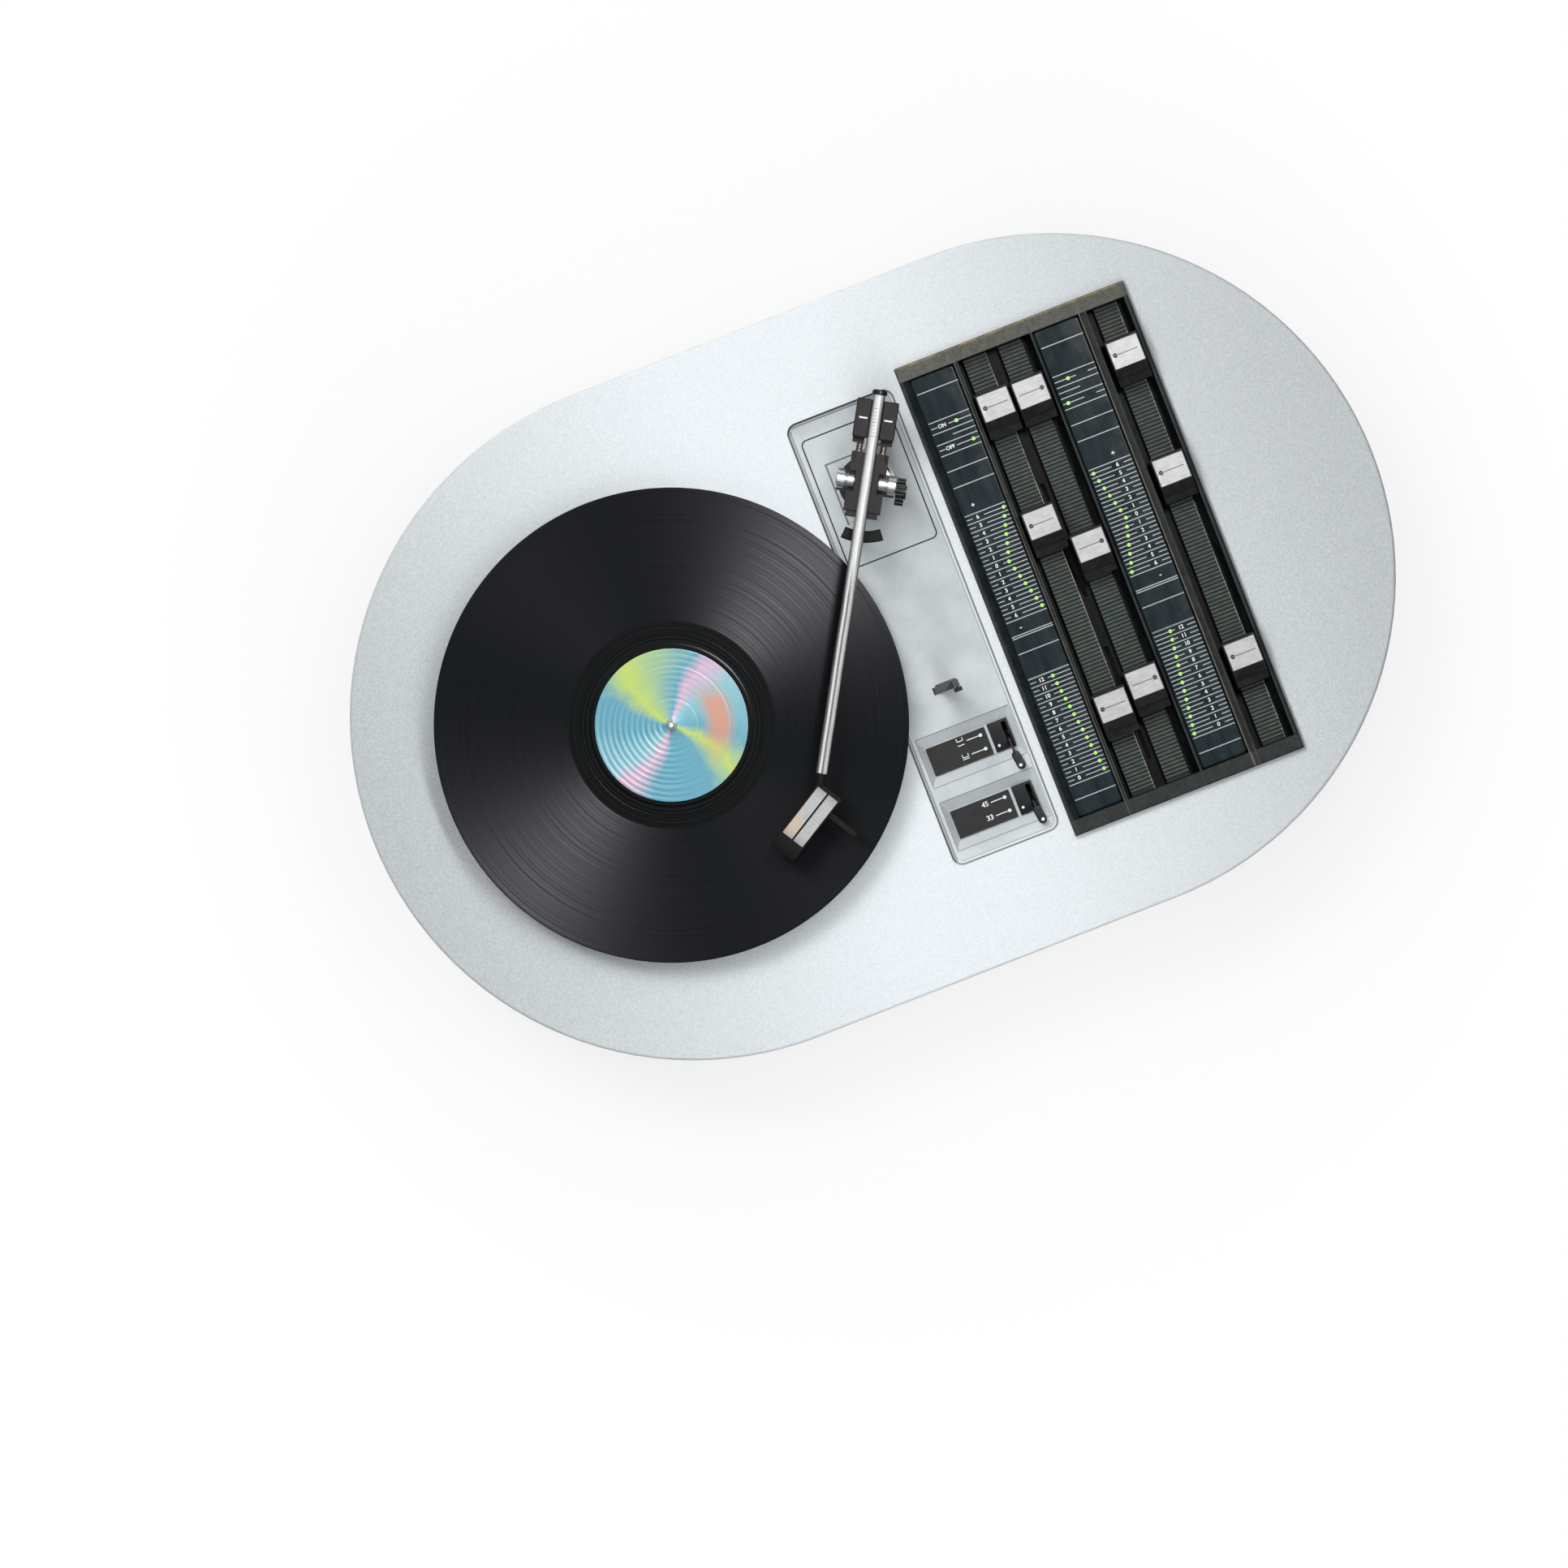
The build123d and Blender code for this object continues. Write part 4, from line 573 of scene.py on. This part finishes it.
def base_finish():
    """The arm's round base: black, with bright metal toward the front right painted in as a highlight."""
    s = Surface("base_finish", (0.02, 0.02, 0.02), 0.36)
    x, y, _ = s.split(s.moved(location=-PIVOT))
    # Painted highlight: the base turns to bright metal toward the front right, where light catches it.
    towards = s.math("SUBTRACT", s.math("MULTIPLY", x, 0.40), s.math("MULTIPLY", y, 0.915))
    ragged = s.math("MULTIPLY", s.math("SUBTRACT", s.noise(5 * MM, 3.0), 0.5), 10 * MM)
    worn = s.between(s.math("ADD", towards, ragged), 3 * MM, 7 * MM)
    black = s.ramp(s.noise(4 * MM, 3.0), (0.3, (0.010, 0.010, 0.011)), (0.7, (0.026, 0.026, 0.027)))
    s.set("Base Color", s.mix(worn, black, (0.70, 0.71, 0.72)))
    s.set("Metallic", worn)
    s.set("Roughness", s.between(s.noise(1.5 * MM, 3.0), 0.3, 0.7, 0.26, 0.44))
    return s.material


def mottled(name, colour, rough, size, amount):
    """A plain technical surface, such as a board or a sleeve, with uneven tone."""
    s = Surface(name, colour, rough)
    varied(s, colour, size, amount)
    return s.material


def ink(name, colour, rough=0.5):
    """A flat print, slightly uneven."""
    return mottled(f"print_{name}", colour, rough, 1.2 * MM, 0.16)


def smooth_by_angle():
    """A node group that shades a mesh smooth and keeps its edges over 32 degrees sharp."""
    group = bpy.data.node_groups.new("smooth_by_angle", "GeometryNodeTree")
    group.interface.new_socket("Geometry", in_out="INPUT", socket_type="NodeSocketGeometry")
    group.interface.new_socket("Geometry", in_out="OUTPUT", socket_type="NodeSocketGeometry")
    enter, leave = group.nodes.new("NodeGroupInput"), group.nodes.new("NodeGroupOutput")
    angle = group.nodes.new("GeometryNodeInputMeshEdgeAngle")
    flat = group.nodes.new("FunctionNodeCompare")
    flat.data_type, flat.operation = "FLOAT", "LESS_THAN"
    flat.inputs[1].default_value = math.radians(32)
    faces, edges = (group.nodes.new("GeometryNodeSetShadeSmooth") for _ in range(2))
    faces.domain, edges.domain = "FACE", "EDGE"
    link = group.links.new
    link(angle.outputs["Unsigned Angle"], flat.inputs[0])
    link(enter.outputs[0], faces.inputs["Geometry"])
    link(faces.outputs[0], edges.inputs["Geometry"])
    link(flat.outputs[0], edges.inputs["Shade Smooth"])
    link(edges.outputs[0], leave.inputs[0])
    return group


SMOOTH = smooth_by_angle()
WELD = 0.002 * MM


def dress(node, material, edge=0.0):
    """Gives a CAD node its material, smooth curved faces and, where edge is set, rounded edges."""
    obj = NODES[node]
    mesh = obj.data
    if "custom_normal" in mesh.attributes:
        mesh.attributes.remove(mesh.attributes["custom_normal"])
    mesh.materials.clear()
    mesh.materials.append(material)
    weld = obj.modifiers.new("weld", "WELD")
    weld.merge_threshold = WELD
    if edge:
        bevel = obj.modifiers.new("edge", "BEVEL")
        bevel.width = edge
        bevel.segments = 2
        bevel.limit_method = "ANGLE"
        bevel.angle_limit = math.radians(40)
        bevel.use_clamp_overlap = True
    smooth = obj.modifiers.new("smooth", "NODES")
    smooth.node_group = SMOOTH
    if edge:
        flat = obj.modifiers.new("flat", "WEIGHTED_NORMAL")
        flat.keep_sharp = True


# Pieces made here


def piece(name, mesh, material, body, stands_for=None):
    """A new object from a mesh, riding on a body."""
    obj = bpy.data.objects.new(name, mesh)
    bpy.context.scene.collection.objects.link(obj)
    mesh.materials.append(material)
    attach(obj, body)
    if stands_for:
        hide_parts(stands_for)
    return obj


def lathe(name, outline, centre, material, body, stands_for=None, steps=256, sharp=32):
    """A closed ring turned about an upright axis from (radius, height) points in metres."""
    bm = bmesh.new()
    rings = []
    for n in range(steps):
        a = 2 * math.pi * n / steps
        c, q = math.cos(a), math.sin(a)
        rings.append([bm.verts.new((centre.x + r * c, centre.y + r * q, z)) for r, z in outline])
    count = len(outline)
    for n in range(steps):
        this, following = rings[n], rings[(n + 1) % steps]
        for k in range(count):
            j = (k + 1) % count
            bm.faces.new((this[k], following[k], following[j], this[j]))
    bmesh.ops.recalc_face_normals(bm, faces=bm.faces)
    mesh = bpy.data.meshes.new(name)
    bm.to_mesh(mesh)
    bm.free()
    mesh.shade_smooth()
    mesh.set_sharp_from_angle(angle=math.radians(sharp))
    return piece(name, mesh, material, body, stands_for)


def record_outline():
    """The pressed disc: rim bead, lead-in, bands of music with gaps between, run-out and label seat."""
    top, bottom = RECORD_HIGH.z, RECORD_LOW.z
    groove = top - 0.25 * MM
    outline = [(3.6, bottom), (149.6, bottom), (150.3, bottom + 0.45 * MM), (150.5, bottom + 0.9 * MM),
               (150.3, top - 0.45 * MM), (149.6, top), (147.8, top), (147.0, top - 0.08 * MM),
               (145.6, groove)]
    for gap in (124.0, 103.5, 86.0):
        outline += [(gap + 0.7, groove), (gap + 0.4, groove - 0.05 * MM), (gap - 0.4, groove - 0.05 * MM),
                    (gap - 0.7, groove)]
    outline += [(66.4, groove), (65.8, groove - 0.12 * MM), (58.2, groove - 0.12 * MM),
                (58.0, groove - 0.05 * MM), (57.8, groove - 0.12 * MM), (52.0, groove - 0.12 * MM),
                (51.0, top - 0.1 * MM),
                (48.8, top - 0.1 * MM), (48.5, top - 0.2 * MM), (3.6, top - 0.2 * MM)]
    return [(r * MM, z) for r, z in outline]


def label_outline():
    """The label, slightly dished where it was pressed, with a raised ring near the hole."""
    low, top = LABEL_LOW.z, LABEL_HIGH.z
    return [(3.62 * MM, low), (LABEL_R, low), (LABEL_R, top - 0.02 * MM), (LABEL_R - 0.3 * MM, top),
            (38.5 * MM, top), (38.1 * MM, top - 0.06 * MM), (37.3 * MM, top - 0.06 * MM), (36.9 * MM, top),
            (18 * MM, top), (17.6 * MM, top - 0.05 * MM), (16.9 * MM, top - 0.05 * MM), (16.5 * MM, top),
            (3.62 * MM, top)]


class Print:
    """Thin printed marks on a flat top, gathered into one mesh for each colour."""

    def __init__(self, height):
        self.z = height + PRINT_LIFT
        self.meshes = {}

    def _mesh(self, ink_name):
        return self.meshes.setdefault(ink_name, bmesh.new())

    def bar(self, x0, x1, y, width, ink_name="grey"):
        """A line along X."""
        self.box(x0, x1, y - width / 2, y + width / 2, ink_name)

    def box(self, x0, x1, y0, y1, ink_name="grey"):
        bm = self._mesh(ink_name)
        corners = [(x0, y0), (x1, y0), (x1, y1), (x0, y1)]
        bm.faces.new([bm.verts.new((x * MM, y * MM, self.z)) for x, y in corners])

    def dot(self, x, y, r, ink_name="green", steps=20):
        bm = self._mesh(ink_name)
        ring = []
        for n in range(steps):
            a = 2 * math.pi * n / steps
            at = ((x + r * math.cos(a)) * MM, (y + r * math.sin(a)) * MM, self.z + PRINT_LIFT)
            ring.append(bm.verts.new(at))
        bm.faces.new(ring)

    def text(self, words, x, y, size, ink_name="white"):
        """Figures or a switch word, with its middle at x, y."""
        curve = bpy.data.curves.new("print", "FONT")
        curve.body = words
        curve.size = size * MM
        curve.offset = 0.09 * MM
        curve.align_x, curve.align_y = "CENTER", "CENTER"
        obj = bpy.data.objects.new("print", curve)
        flat = bpy.data.meshes.new_from_object(obj)
        flat.transform(Matrix.Translation((x * MM, y * MM, self.z)))
        self._mesh(ink_name).from_mesh(flat)
        bpy.data.objects.remove(obj)
        bpy.data.curves.remove(curve)
        bpy.data.meshes.remove(flat)

    def make(self, name, inks, body, slot):
        for ink_name, bm in self.meshes.items():
            mesh = bpy.data.meshes.new(f"{name}_{ink_name}")
            bmesh.ops.recalc_face_normals(bm, faces=bm.faces)
            for face in bm.faces:
                if face.normal.z < 0:
                    face.normal_flip()
            bm.to_mesh(mesh)
            bm.free()
            piece(mesh.name, mesh, inks[ink_name], body)


# Each scale has, from the rear, switch marks, a tone scale and a volume scale. Its places are in millimetres.
LINE_W = 0.62


class Scale:
    """One printed scale strip. inner is the edge beside its faders, and outer the far edge."""

    def __init__(self, node, inner, outer, figure_x, long_line, short_line):
        self.print = Print(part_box(node)[1].z)
        self.inner, self.outer = inner, outer
        self.figure_x, self.long_line, self.short_line = figure_x, long_line, short_line

    def across(self, y, width=LINE_W):
        self.print.bar(min(self.inner, self.outer), max(self.inner, self.outer), y, width)

    def mark(self, y, figure=None, size=3.6):
        """A broken line with a figure in its gap."""
        self.print.bar(*self.long_line, y, LINE_W)
        self.print.bar(*self.short_line, y, LINE_W)
        if figure is not None:
            self.print.text(figure, self.figure_x, y, size)

    def switch(self, rear, on_y, off_y, on_dot, off_dot, words):
        """The two-way switch marks of the first fader."""
        for y in rear:
            self.across(y)
        step = (on_y - off_y) / 4
        for n in range(5):
            y = on_y - n * step
            if n in (0, 4):
                self.mark(y, words[n // 4] if words else None, 3.4)
            elif n == 2:
                self.print.bar(*self.long_line, y, LINE_W)
            else:
                self.across(y)
        self.across(off_y - step)
        self.print.dot(on_dot, on_y, 1.25)
        self.print.dot(off_dot, off_y, 1.25)

    def figures(self, top, step, figures, dot_at):
        """A run of figures from rear to front, with a full line between each two and a dot on each."""
        self.across(top + step / 2)
        for n, figure in enumerate(figures):
            y = top - n * step
            self.mark(y, str(figure))
            self.across(y - step / 2)
            self.print.dot(dot_at(n), y, 1.2)


def tone_figures():
    return [*range(6, 0, -1), *range(0, 7)]


def left_scale(inks):
    s = Scale("scale_strip_left", 111.6, 84.0, 91.8, (96.2, 111.6), (84.4, 88.4))
    s.switch((138.2, 118.4), 114.5, 99.8, 101.5, 107.5, ("ON", "OFF"))
    for y in (85.5, 74.5):
        s.across(y)
    s.print.text("+", s.figure_x, 60.5, 4.6)
    s.figures(52.5, 5.58, tone_figures(), lambda n: 109.4 - 1.55 * min(n, 12 - n))
    s.print.text("-", s.figure_x, -22.5, 5.0)
    for y in (-27.0, -28.4, -38.5, -55.4):
        s.across(y)
    s.figures(-58.5, 5.54, range(12, -1, -1), lambda n: 99.6 + 0.74 * n)
    s.across(-137.5)
    s.print.make("left_scale_print", inks, "chassis", "black_gloss")


def right_scale(inks):
    s = Scale("scale_strip_right", 168.0, 196.3, 186.4, (168.0, 182.4), (190.6, 196.3))
    s.switch((137.0, 117.4), 113.6, 98.8, 177.0, 171.5, None)
    for y in (84.5, 73.5):
        s.across(y)
    s.print.text("+", s.figure_x, 59.0, 4.6)
    s.figures(51.3, 5.57, tone_figures(), lambda n: 170.2 + 1.5 * min(n, 12 - n))
    s.print.text("-", s.figure_x, -23.5, 5.0)
    for y in (-28.0, -29.4, -39.5, -56.4):
        s.across(y)
    s.figures(-59.4, 5.5, range(12, -1, -1), lambda n: 179.2 - 0.78 * n)
    s.across(-138.5)
    s.print.make("right_scale_print", inks, "chassis", "black_gloss")


PLATE_LINE_W = 0.55


def label_prints(inks):
    """The marks on the two dark plates beside the levers, and the white dots on the guides and levers."""
    p = Print(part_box("label_plates")[1].z)
    for y, words in ((-119.2, "45"), (-128.2, "33"), (-77.0, None), (-86.2, None)):
        p.bar(33.8, 43.0, y, PLATE_LINE_W, "white")
        p.dot(43.2, y, 1.15, "white")
        if words:
            p.text(words, 30.0, y, 4.6)
    icon_x = 29.6
    for y, raised in ((-77.0, 1.6), (-86.2, 0.0)):
        for x in (icon_x - 1.9, icon_x + 1.9):
            p.box(x - 0.25, x + 0.25, y - 0.6 + raised, y + 1.6 + raised, "white")
        p.bar(icon_x - 2.2, icon_x + 2.2, y - 1.6, 0.5, "white")
        p.bar(icon_x - 1.7, icon_x + 1.7, y - 0.5 + raised, 0.5, "white")
    p.make("plate_print", inks, "chassis", "black_gloss")
    dots = Print(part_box("lever_guides")[1].z)
    dots.dot(52.0, -87.5, 0.9, "white")
    dots.dot(51.8, -129.5, 0.9, "white")
    dots.make("guide_print", inks, "chassis", "black_gloss")
    for node, x, y in (("lift_lever", 60.1, -103.9), ("speed_lever", 60.8, -141.0)):
        tip = Print(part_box(node)[1].z)
        tip.dot(x, y, 1.05, "white")
        tip.make(f"{node}_dot", inks, node, "black_plastic")


CAP_LINE_BACK = 10.4  # from a cap's rear to its line
DIMPLE_X = 7.2  # from a cap's middle to its dimple: to the right in the middle column, to the left elsewhere
MIDDLE_COLUMN_X = 152


def fader_prints(inks):
    """Painted shade: a dark mark in the line groove across each cap, and a dark disc over the dimple near one
    end of it, for the black body seen in the dimple and the shade in it.
    """
    for node in NODES:
        if not node.startswith("fader_"):
            continue
        low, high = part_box(node)
        middle, line_y = (low.x + high.x) / (2 * MM), high.y / MM - CAP_LINE_BACK
        p = Print(high.z)
        p.bar(middle - 8, middle + 8, line_y, 0.65, "line")
        p.make(f"{node}_line", inks, node, "black_gloss")
        in_middle_column = abs(middle - MIDDLE_COLUMN_X) < 3
        dimple = Print(high.z - 0.06 * MM)
        dimple.dot(middle + (DIMPLE_X if in_middle_column else -DIMPLE_X), line_y, 1.5, "pit")
        dimple.make(f"{node}_dimple", inks, node, "black_gloss")


def arm_prints(inks):
    """The balance scale along the tube and the two index lines on the counterweight."""
    axis_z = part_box("arm_tube")[1].z / MM - TUBE_R
    r = TUBE_R + 0.03
    bm = bmesh.new()
    for n in range(9):
        back = 29.5 + 2.2 * n
        half = math.radians(34 if n % 4 == 0 else 20)
        arc = [half * (1.2 * k / 6 - 0.2) - math.radians(8) for k in range(7)]
        rows = [[bm.verts.new(arm_point(x, r * math.sin(a), (axis_z + r * math.cos(a)) * MM)) for a in arc]
                for x in (back - 0.16, back + 0.16)]
        for k in range(6):
            bm.faces.new((rows[0][k], rows[1][k], rows[1][k + 1], rows[0][k + 1]))
    mesh = bpy.data.meshes.new("tube_scale")
    bm.to_mesh(mesh)
    bm.free()
    piece("tube_scale", mesh, inks["black"], "tonearm")
    index_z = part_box("counterweight")[1].z + 0.02 * MM
    bm = bmesh.new()
    for side in (-1, 1):
        corners = [(39.9, side * 5.4), (40.9, side * 5.4), (40.9, side * 10.6), (39.9, side * 10.6)]
        bm.faces.new([bm.verts.new(arm_point(b, s, index_z)) for b, s in corners])
    mesh = bpy.data.meshes.new("weight_index")
    bm.to_mesh(mesh)
    bm.free()
    piece("weight_index", mesh, inks["white"], "weight")


# Light and camera

PHOTO_SIDE = 1932  # pixels
PIXEL = 301 / 585 * MM  # a 301 mm record is 585 pixels across
TURN = math.radians(21.3136)  # how far the player is turned in the picture
MIDDLE_PIXEL = (1075.47, 796.84)  # where the middle of the player is in the picture
LENS = 400.0
SENSOR = 36.0


def camera():
    """Straight above the player with a long lens, turned so that the desk is to the upper right."""
    right = (PHOTO_SIDE / 2 - MIDDLE_PIXEL[0]) * PIXEL
    up = (MIDDLE_PIXEL[1] - PHOTO_SIDE / 2) * PIXEL
    x = right * math.cos(TURN) + up * math.sin(TURN)
    y = -right * math.sin(TURN) + up * math.cos(TURN)
    data = bpy.data.cameras.new("camera")
    data.lens, data.sensor_width = LENS, SENSOR
    data.clip_start, data.clip_end = 0.1, 60
    obj = bpy.data.objects.new("camera", data)
    distance = PHOTO_SIDE * PIXEL * LENS / SENSOR
    obj.location = (x, y, DECK_TOP + distance)
    obj.rotation_euler = (0, 0, -TURN)
    bpy.context.scene.collection.objects.link(obj)
    bpy.context.scene.camera = obj


def area_light(name, at, look, size, power):
    data = bpy.data.lights.new(name, "AREA")
    data.shape = "RECTANGLE"
    data.size, data.size_y = size
    data.energy = power
    obj = bpy.data.objects.new(name, data)
    obj.location = at
    obj.rotation_euler = (Vector(look) - Vector(at)).to_track_quat("-Z", "Y").to_euler()
    obj.visible_camera = False
    bpy.context.scene.collection.objects.link(obj)
    return obj


def lights():
    """The studio's lamps.

    A strip close overhead shades the deck from its middle to its ends. A soft sun comes from the rear and
    left. Two lights that only reflections see give the metal and the grooves something to mirror.
    """
    overhead = area_light("overhead", (-0.025, 0.0, 0.53), (-0.025, 0.0, 0.0), (0.10, 1.8), 2.8)
    overhead.visible_glossy = False
    softbox = area_light("softbox", (0.0, 0.1, 1.3), (0.0, 0.0, 0.0), (1.4, 1.4), 4.2)
    softbox.visible_diffuse = False
    across = math.radians(29)  # the side of the record that the sheen points to
    out = 1.05  # metres from the spindle, seen from above
    at = (SPINDLE.x + out * math.cos(across), out * math.sin(across), 1.75)
    sheen = area_light("sheen", at, (SPINDLE.x, 0.0, 0.09), (0.42, 0.42), 112.0)
    sheen.visible_diffuse = False
    sun = bpy.data.lights.new("sun", "SUN")
    sun.energy = 1.1
    sun.angle = math.radians(25)
    obj = bpy.data.objects.new("sun", sun)
    obj.rotation_euler = Vector((0.35, -0.80, -1.0)).to_track_quat("-Z", "Y").to_euler()
    bpy.context.scene.collection.objects.link(obj)


def world():
    """A soft grey studio, seen as white where the camera looks past the floor."""
    w = bpy.data.worlds.new("studio")
    w.use_nodes = True
    bpy.context.scene.world = w
    tree = w.node_tree
    ground = tree.nodes["Background"]
    ground.inputs["Color"].default_value = (0.95, 0.98, 1.0, 1)
    ground.inputs["Strength"].default_value = 0.22
    white = tree.nodes.new("ShaderNodeBackground")
    white.inputs["Color"].default_value = (1, 1, 1, 1)
    path = tree.nodes.new("ShaderNodeLightPath")
    mix = tree.nodes.new("ShaderNodeMixShader")
    tree.links.new(path.outputs["Is Camera Ray"], mix.inputs[0])
    tree.links.new(ground.outputs[0], mix.inputs[1])
    tree.links.new(white.outputs[0], mix.inputs[2])
    tree.links.new(mix.outputs[0], tree.nodes["World Output"].inputs["Surface"])


def floor():
    """A wide pale floor that keeps a soft shadow under the player and glows evenly away from it."""
    bm = bmesh.new()
    bmesh.ops.create_grid(bm, x_segments=1, y_segments=1, size=15)
    mesh = bpy.data.meshes.new("floor")
    bm.to_mesh(mesh)
    bm.free()
    obj = bpy.data.objects.new("floor", mesh)
    obj.location.z = -0.1 * MM
    bpy.context.scene.collection.objects.link(obj)
    s = Surface("floor", (0.95, 0.95, 0.95), 0.9)
    glow = s.add("ShaderNodeEmission", {"Color": (1, 1, 1, 1), "Strength": 1.0})
    path = s.add("ShaderNodeLightPath")
    seen = s.math("MAXIMUM", path.outputs["Is Camera Ray"], path.outputs["Is Glossy Ray"])
    radius, _ = s.radius_from(Vector((0, 0, 0)))
    share = s.between(radius, 0.30, 0.46, 0.82, 1.0)
    mix = s.add("ShaderNodeMixShader", {0: s.all(seen, share), 1: s.shader.outputs[0], 2: glow.outputs[0]})
    s.tree.links.new(mix.outputs[0], s.output.inputs["Surface"])
    mesh.materials.append(s.material)


# Putting it together


def plain_finishes():
    """The materials that are shared or need no function of their own, by name."""
    metals = (
        ("spindle_steel", (0.80, 0.77, 0.75), 0.36, 0.6), ("cup_metal", (0.54, 0.55, 0.56), 0.30, 0.5),
        ("chrome", (0.88, 0.89, 0.90), 0.13, 0.4), ("pot_steel", (0.030, 0.030, 0.031), 0.5, 1.0),
        ("thread_steel", (0.16, 0.155, 0.15), 0.38, 1.0), ("socket_metal", (0.74, 0.73, 0.70), 0.22, 1.0),
    )
    out = {name: metal(name, colour, rough, size=size * MM) for name, colour, rough, size in metals}
    out["steel"] = metal("steel", (0.55, 0.56, 0.57), 0.34, streak=(6, 1, 1))
    out["alloy"] = turned_metal("cast_alloy", (0.60, 0.61, 0.62), 0.30, SPINDLE)
    out["brass"] = turned_metal("brass", (0.60, 0.44, 0.20), 0.28, SPINDLE)
    out["black"] = plastic("black_plastic", (0.030, 0.030, 0.031), 0.46, Specular_IOR_Level=0.3)
    out["grey"] = plastic("rest_plastic", (0.032, 0.036, 0.038), 0.46, Specular_IOR_Level=0.2)
    out["head"] = plastic("head_black", (0.0085, 0.009, 0.009), 0.5, grain=0.3 * MM, depth=0.2,
                          Specular_IOR_Level=0.05)
    out["deep"] = plastic("deep_black", (0.010, 0.010, 0.011), 0.34, Specular_IOR_Level=0.14)
    out["arm"] = plastic("arm_plastic", (0.031, 0.0275, 0.028), 0.5, grain=0.3 * MM, depth=0.3,
                         Specular_IOR_Level=0.06)
    out["gloss"] = plastic("black_gloss", (0.019, 0.0195, 0.020), 0.42, patches=8 * MM, depth=0.10,
                           Specular_IOR_Level=0.10)
    out["guide"] = plastic("guide_gloss", (0.013, 0.016, 0.017), 0.42, patches=8 * MM, depth=0.10,
                           Specular_IOR_Level=0.06)
    out["foot"] = rubber("foot_rubber", (0.02, 0.02, 0.021))
    out["mat"] = rubber("mat_rubber", (0.012, 0.012, 0.013))
    out["belt"] = rubber("belt_rubber", (0.02, 0.02, 0.02), 0.6)
    out["board"] = mottled("board", (0.26, 0.17, 0.06), 0.6, 8 * MM, 0.25)
    out["sleeve"] = mottled("capacitor_sleeve", (0.02, 0.05, 0.16), 0.35, 5 * MM, 0.15)
    out["core"] = mottled("core_steel", (0.10, 0.09, 0.085), 0.5, 3 * MM, 0.3)
    return out


def dress_all():
    """Gives every CAD node its material and, in millimetres, the width of its rounded edges."""
    plain = plain_finishes()
    lever, scale = lever_finish(), scale_gloss()
    own = (
        ("deck_shell", deck_paint(), 0), ("base_pan", pan_plastic(), 0),
        ("control_strip", strip_plastic(), 0), ("desk_bezel", desk_plastic(), 0),
        ("arm_base", base_finish(), 0.3), ("bearing_yoke", yoke_metal(), 0.3),
        ("arm_tube", tube_chrome(), 0), ("headshell_plates", head_plate(), 0.1),
        ("scale_strip_left", scale, 0), ("scale_strip_right", scale, 0), ("ribbed_strips", rib_plastic(), 0),
        ("lift_lever", lever, 0.15), ("speed_lever", lever, 0.15),
    )
    shared = (
        ("steel", 0, "casing_screws", "bearer_plate", "bearer_screws", "drive_motor"),
        ("brass", 0, "bearing_housing", "motor_pulley"), ("foot", 0, "feet"), ("belt", 0, "drive_belt"),
        ("black", 0, "rear_panel", "mains_inlet"), ("black", 0.2, "arm_latch"),
        ("socket_metal", 0, "phono_sockets"), ("pot_steel", 0, "slide_pots"), ("core", 0, "transformer"),
        ("board", 0, "amplifier_board"), ("sleeve", 0, "capacitors"), ("gloss", 0.2, "label_plates"),
        ("guide", 0.2, "lever_guides"), ("grey", 0.3, "arm_rest"), ("grey", 0, "stylus"),
        ("spindle_steel", 0, "spindle"), ("alloy", 0, "sub_platter"), ("alloy", 0.4, "platter"),
        ("mat", 0, "platter_mat"), ("cup_metal", 0, "bearing_cups"), ("deep", 0.15, "force_dial"),
        ("deep", 0.3, "tube_end_cap"), ("arm", 0.35, "arm_block"), ("arm", 0.3, "counterweight"),
        ("thread_steel", 0, "weight_rods"), ("chrome", 0, "headshell_screws"),
        ("head", 0.3, "headshell", "cartridge"), ("head", 0.2, "finger_lift", "lift_bar"),
    )
    for node, material, edge in own:
        dress(node, material, edge * MM)
    for name, edge, *nodes in shared:
        for node in nodes:
            dress(node, plain[name], edge * MM)
    cap = cap_finish()
    for node in NODES:
        if node.startswith("fader_"):
            dress(node, cap, 0.25 * MM)


def turned_record():
    """The record, with a smooth run-out inside the music, and its label."""
    disc = lathe("record_disc", record_outline(), SPINDLE, vinyl(), "platter", "record", sharp=3)
    disc.data.materials.append(vinyl_land())
    for face in disc.data.polygons:
        if (face.center - SPINDLE).xy.length < RUN_OUT_R:
            face.material_index = 1
    lathe("record_label_disc", label_outline(), SPINDLE, label_paper(), "platter",
          "record_label", sharp=3)


dress_all()
turned_record()
# The line and pit inks are painted shade on the fader caps: in the groove, and over the dimple with the black
# body seen in it.
inks = {"grey": ink("grey", PRINT_GREY), "white": ink("white", PRINT_WHITE), "green": ink("green", DOT_GREEN),
        "black": ink("black", (0.02, 0.02, 0.02)), "line": ink("line", (0.045, 0.045, 0.045)),
        "pit": ink("pit", (0.006, 0.006, 0.006), 0.9)}
fader_prints(inks)
left_scale(inks)
right_scale(inks)
label_prints(inks)
arm_prints(inks)
camera()
lights()
world()
floor()
bpy.context.scene.view_settings.view_transform = "Standard"
